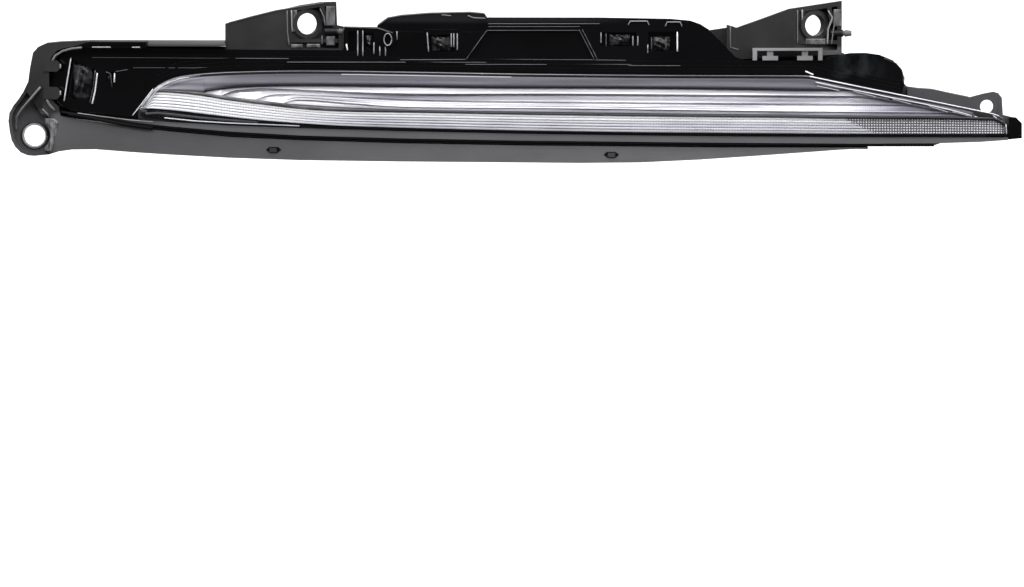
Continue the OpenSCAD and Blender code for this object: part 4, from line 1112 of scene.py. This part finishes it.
def dress_nodes():
    dress("carrier", carrier_plastic(), 0.4)
    dress("housing", moulded("housing_plastic", (0.03, 0.03, 0.033)))
    dress("bezel end_cap", gloss_black("bezel_black"), 0.3, 3)
    dress("lens_seal", moulded("seal_rubber", (0.01, 0.01, 0.01), 0.7), 0.1)
    dress("seal_strip", moulded("lip_rubber", (0.0025, 0.0025, 0.003), 0.6, specular=0.08), 0.1)
    dress("trim_rail", rail_plastic(), 0.3, 3)
    dress("light_guide", clear("guide_clear", (0.9, 0.9, 0.95), 0.35), 0)
    dress("drl_board signal_board", moulded("board_green", (0.012, 0.09, 0.045), 0.35), 0.1)
    dress("drl_leds", moulded("led_white", (0.8, 0.72, 0.3), 0.3), 0.1)
    dress("signal_leds", moulded("led_amber", (0.8, 0.35, 0.05), 0.3), 0.1)
    dress("heat_sink", bare_metal("sink_aluminium", (0.75, 0.75, 0.77), 0.35, (0.1, 1, 1)), 0.2)
    dress("driver_module", bare_metal("driver_case", (0.5, 0.51, 0.53), 0.5), 0.4)
    dress("driver_screws unit_screws", bare_metal("screw_steel", (0.62, 0.61, 0.6), 0.3), 0.2)
    dress("plug_socket", moulded("socket_plastic", (0.018, 0.018, 0.02), 0.5), 0.3)
    dress("contact_pins", bare_metal("contact_brass", (0.85, 0.66, 0.3), 0.25), 0)
    dress("vent_cap", moulded("vent_plastic", (0.014, 0.014, 0.015), 0.5), 0.3)
    dress("retaining_clip", moulded("clip_grey", (0.19, 0.19, 0.195), 0.35, 0.02, 0.3))
    dress("snap_studs", moulded("stud_grey", (0.025, 0.025, 0.026), 0.35, variation=0.7), 0.2)
    dress("locating_pegs", peg_plastic())
    dress("flex_lead", moulded("lead_film", (0.55, 0.27, 0.04), 0.4), 0)


# Studio


def camera():
    """A long lens in front of the lamp, aimed below it as the photograph is framed."""
    photo_width = 1024
    photo_height = 587
    origin_px = (34, 136)
    mm_per_px = 0.5523
    lamp_row = 82
    lens_mm = 600
    sensor_mm = 36
    look_down = radians(1.0)
    middle_y = -12
    middle = ((photo_width / 2 - origin_px[0]) * mm_per_px, (origin_px[1] - lamp_row) * mm_per_px)
    drop = (photo_height / 2 - lamp_row) * mm_per_px
    distance = photo_width * mm_per_px * lens_mm / sensor_mm
    data = bpy.data.cameras.new("camera")
    data.lens = lens_mm
    data.sensor_width = sensor_mm
    data.clip_end = 100
    eye = placed("camera", data)
    subject = Vector((middle[0], middle_y, middle[1])) * MM
    eye.location = subject + Vector((0, -distance * cos(look_down), distance * sin(look_down))) * MM
    eye.rotation_euler = (pi / 2 - look_down - asin(drop / distance), 0, 0)
    bpy.context.scene.camera = eye


# Name, place, size and power of each light, in metres and watts
LIGHTS = (("overhead", (0.27, -0.7, 1.9), (2.6, 0.9), 34),
          ("front_high", (0.27, -2.6, 1.5), (2.4, 0.9), 46),
          ("left_front", (-1.7, -1.6, 0.9), (0.8, 1.2), 16),
          ("right_front", (2.2, -1.6, 0.9), (0.8, 1.2), 16),
          ("behind", (0.27, 1.6, 1.3), (2.4, 0.8), 16))
LIGHTS_AIM = Vector((0.27, 0, 0.03))


def add_lights():
    """Soft lights round the lamp, which the camera doesn't see."""
    for name, place, size, power in LIGHTS:
        data = bpy.data.lights.new(name, "AREA")
        data.shape = "RECTANGLE"
        data.size, data.size_y = size
        data.energy = power
        light = placed(name, data)
        light.location = place
        light.visible_camera = False
        light.rotation_euler = (LIGHTS_AIM - Vector(place)).to_track_quat("-Z", "Y").to_euler()


def studio_floor():
    """A wide pale floor that gives no light back from below, so that undersides stay dark."""
    floor_z = -0.25
    ends = (-40, 40)
    mesh = grid_mesh("studio_floor", [[Vector((x, y, floor_z)) for y in ends] for x in ends])
    mat = material("floor_pale", (0.9, 0.9, 0.9), 0.9, specular=0.0)
    paint(mat, ramp(mat, noise(mat, 2, 2.0), (0.9, 0.9, 0.9), (0.91, 0.91, 0.91)))
    socket(mat, "Emission Color").default_value = (1, 1, 1, 1)
    socket(mat, "Emission Strength").default_value = 0.35
    mesh.materials.append(mat)
    floor = placed("studio_floor", mesh)
    floor.visible_diffuse = False
    floor.visible_glossy = False


def world_light():
    """A soft studio sky: bright overhead, dim in front, so that gloss black stays black."""
    world = bpy.data.worlds.new("studio")
    bpy.context.scene.world = world
    world.use_nodes = True
    world.node_tree.nodes.clear()
    direction = axes(world, "ShaderNodeTexCoord", "Generated")
    height = spread(world, direction["Z"], 0.1, 1.5, 0.1, 0.75)
    sideways = calculated(world, "ABSOLUTE", direction["X"])
    flank = spread(world, sideways, 0.0, 2.0, 0.6, 0.9, True)
    soft = node(world, "ShaderNodeBackground")
    link(world, calculated(world, "ADD", height, flank), soft.inputs["Strength"])
    seen = node(world, "ShaderNodeBackground", Color=(0.97, 0.97, 0.97, 1))
    path = node(world, "ShaderNodeLightPath")
    mix = node(world, "ShaderNodeMixShader")
    link(world, path.outputs["Is Camera Ray"], mix.inputs["Fac"])
    link(world, soft.outputs["Background"], mix.inputs[1])
    link(world, seen.outputs["Background"], mix.inputs[2])
    link(world, mix.outputs["Shader"], node(world, "ShaderNodeOutputWorld").inputs["Surface"])


lens_piece()
reflector_piece()
divider_bar()
optic_piece()
end_band()
lower_mask()
bead_pieces()
bay_pads()
rim_cover()
ear_pieces()
tongue_pieces()
dress_nodes()
camera()
studio_floor()
world_light()
add_lights()
bpy.context.scene.view_settings.view_transform = "Standard"
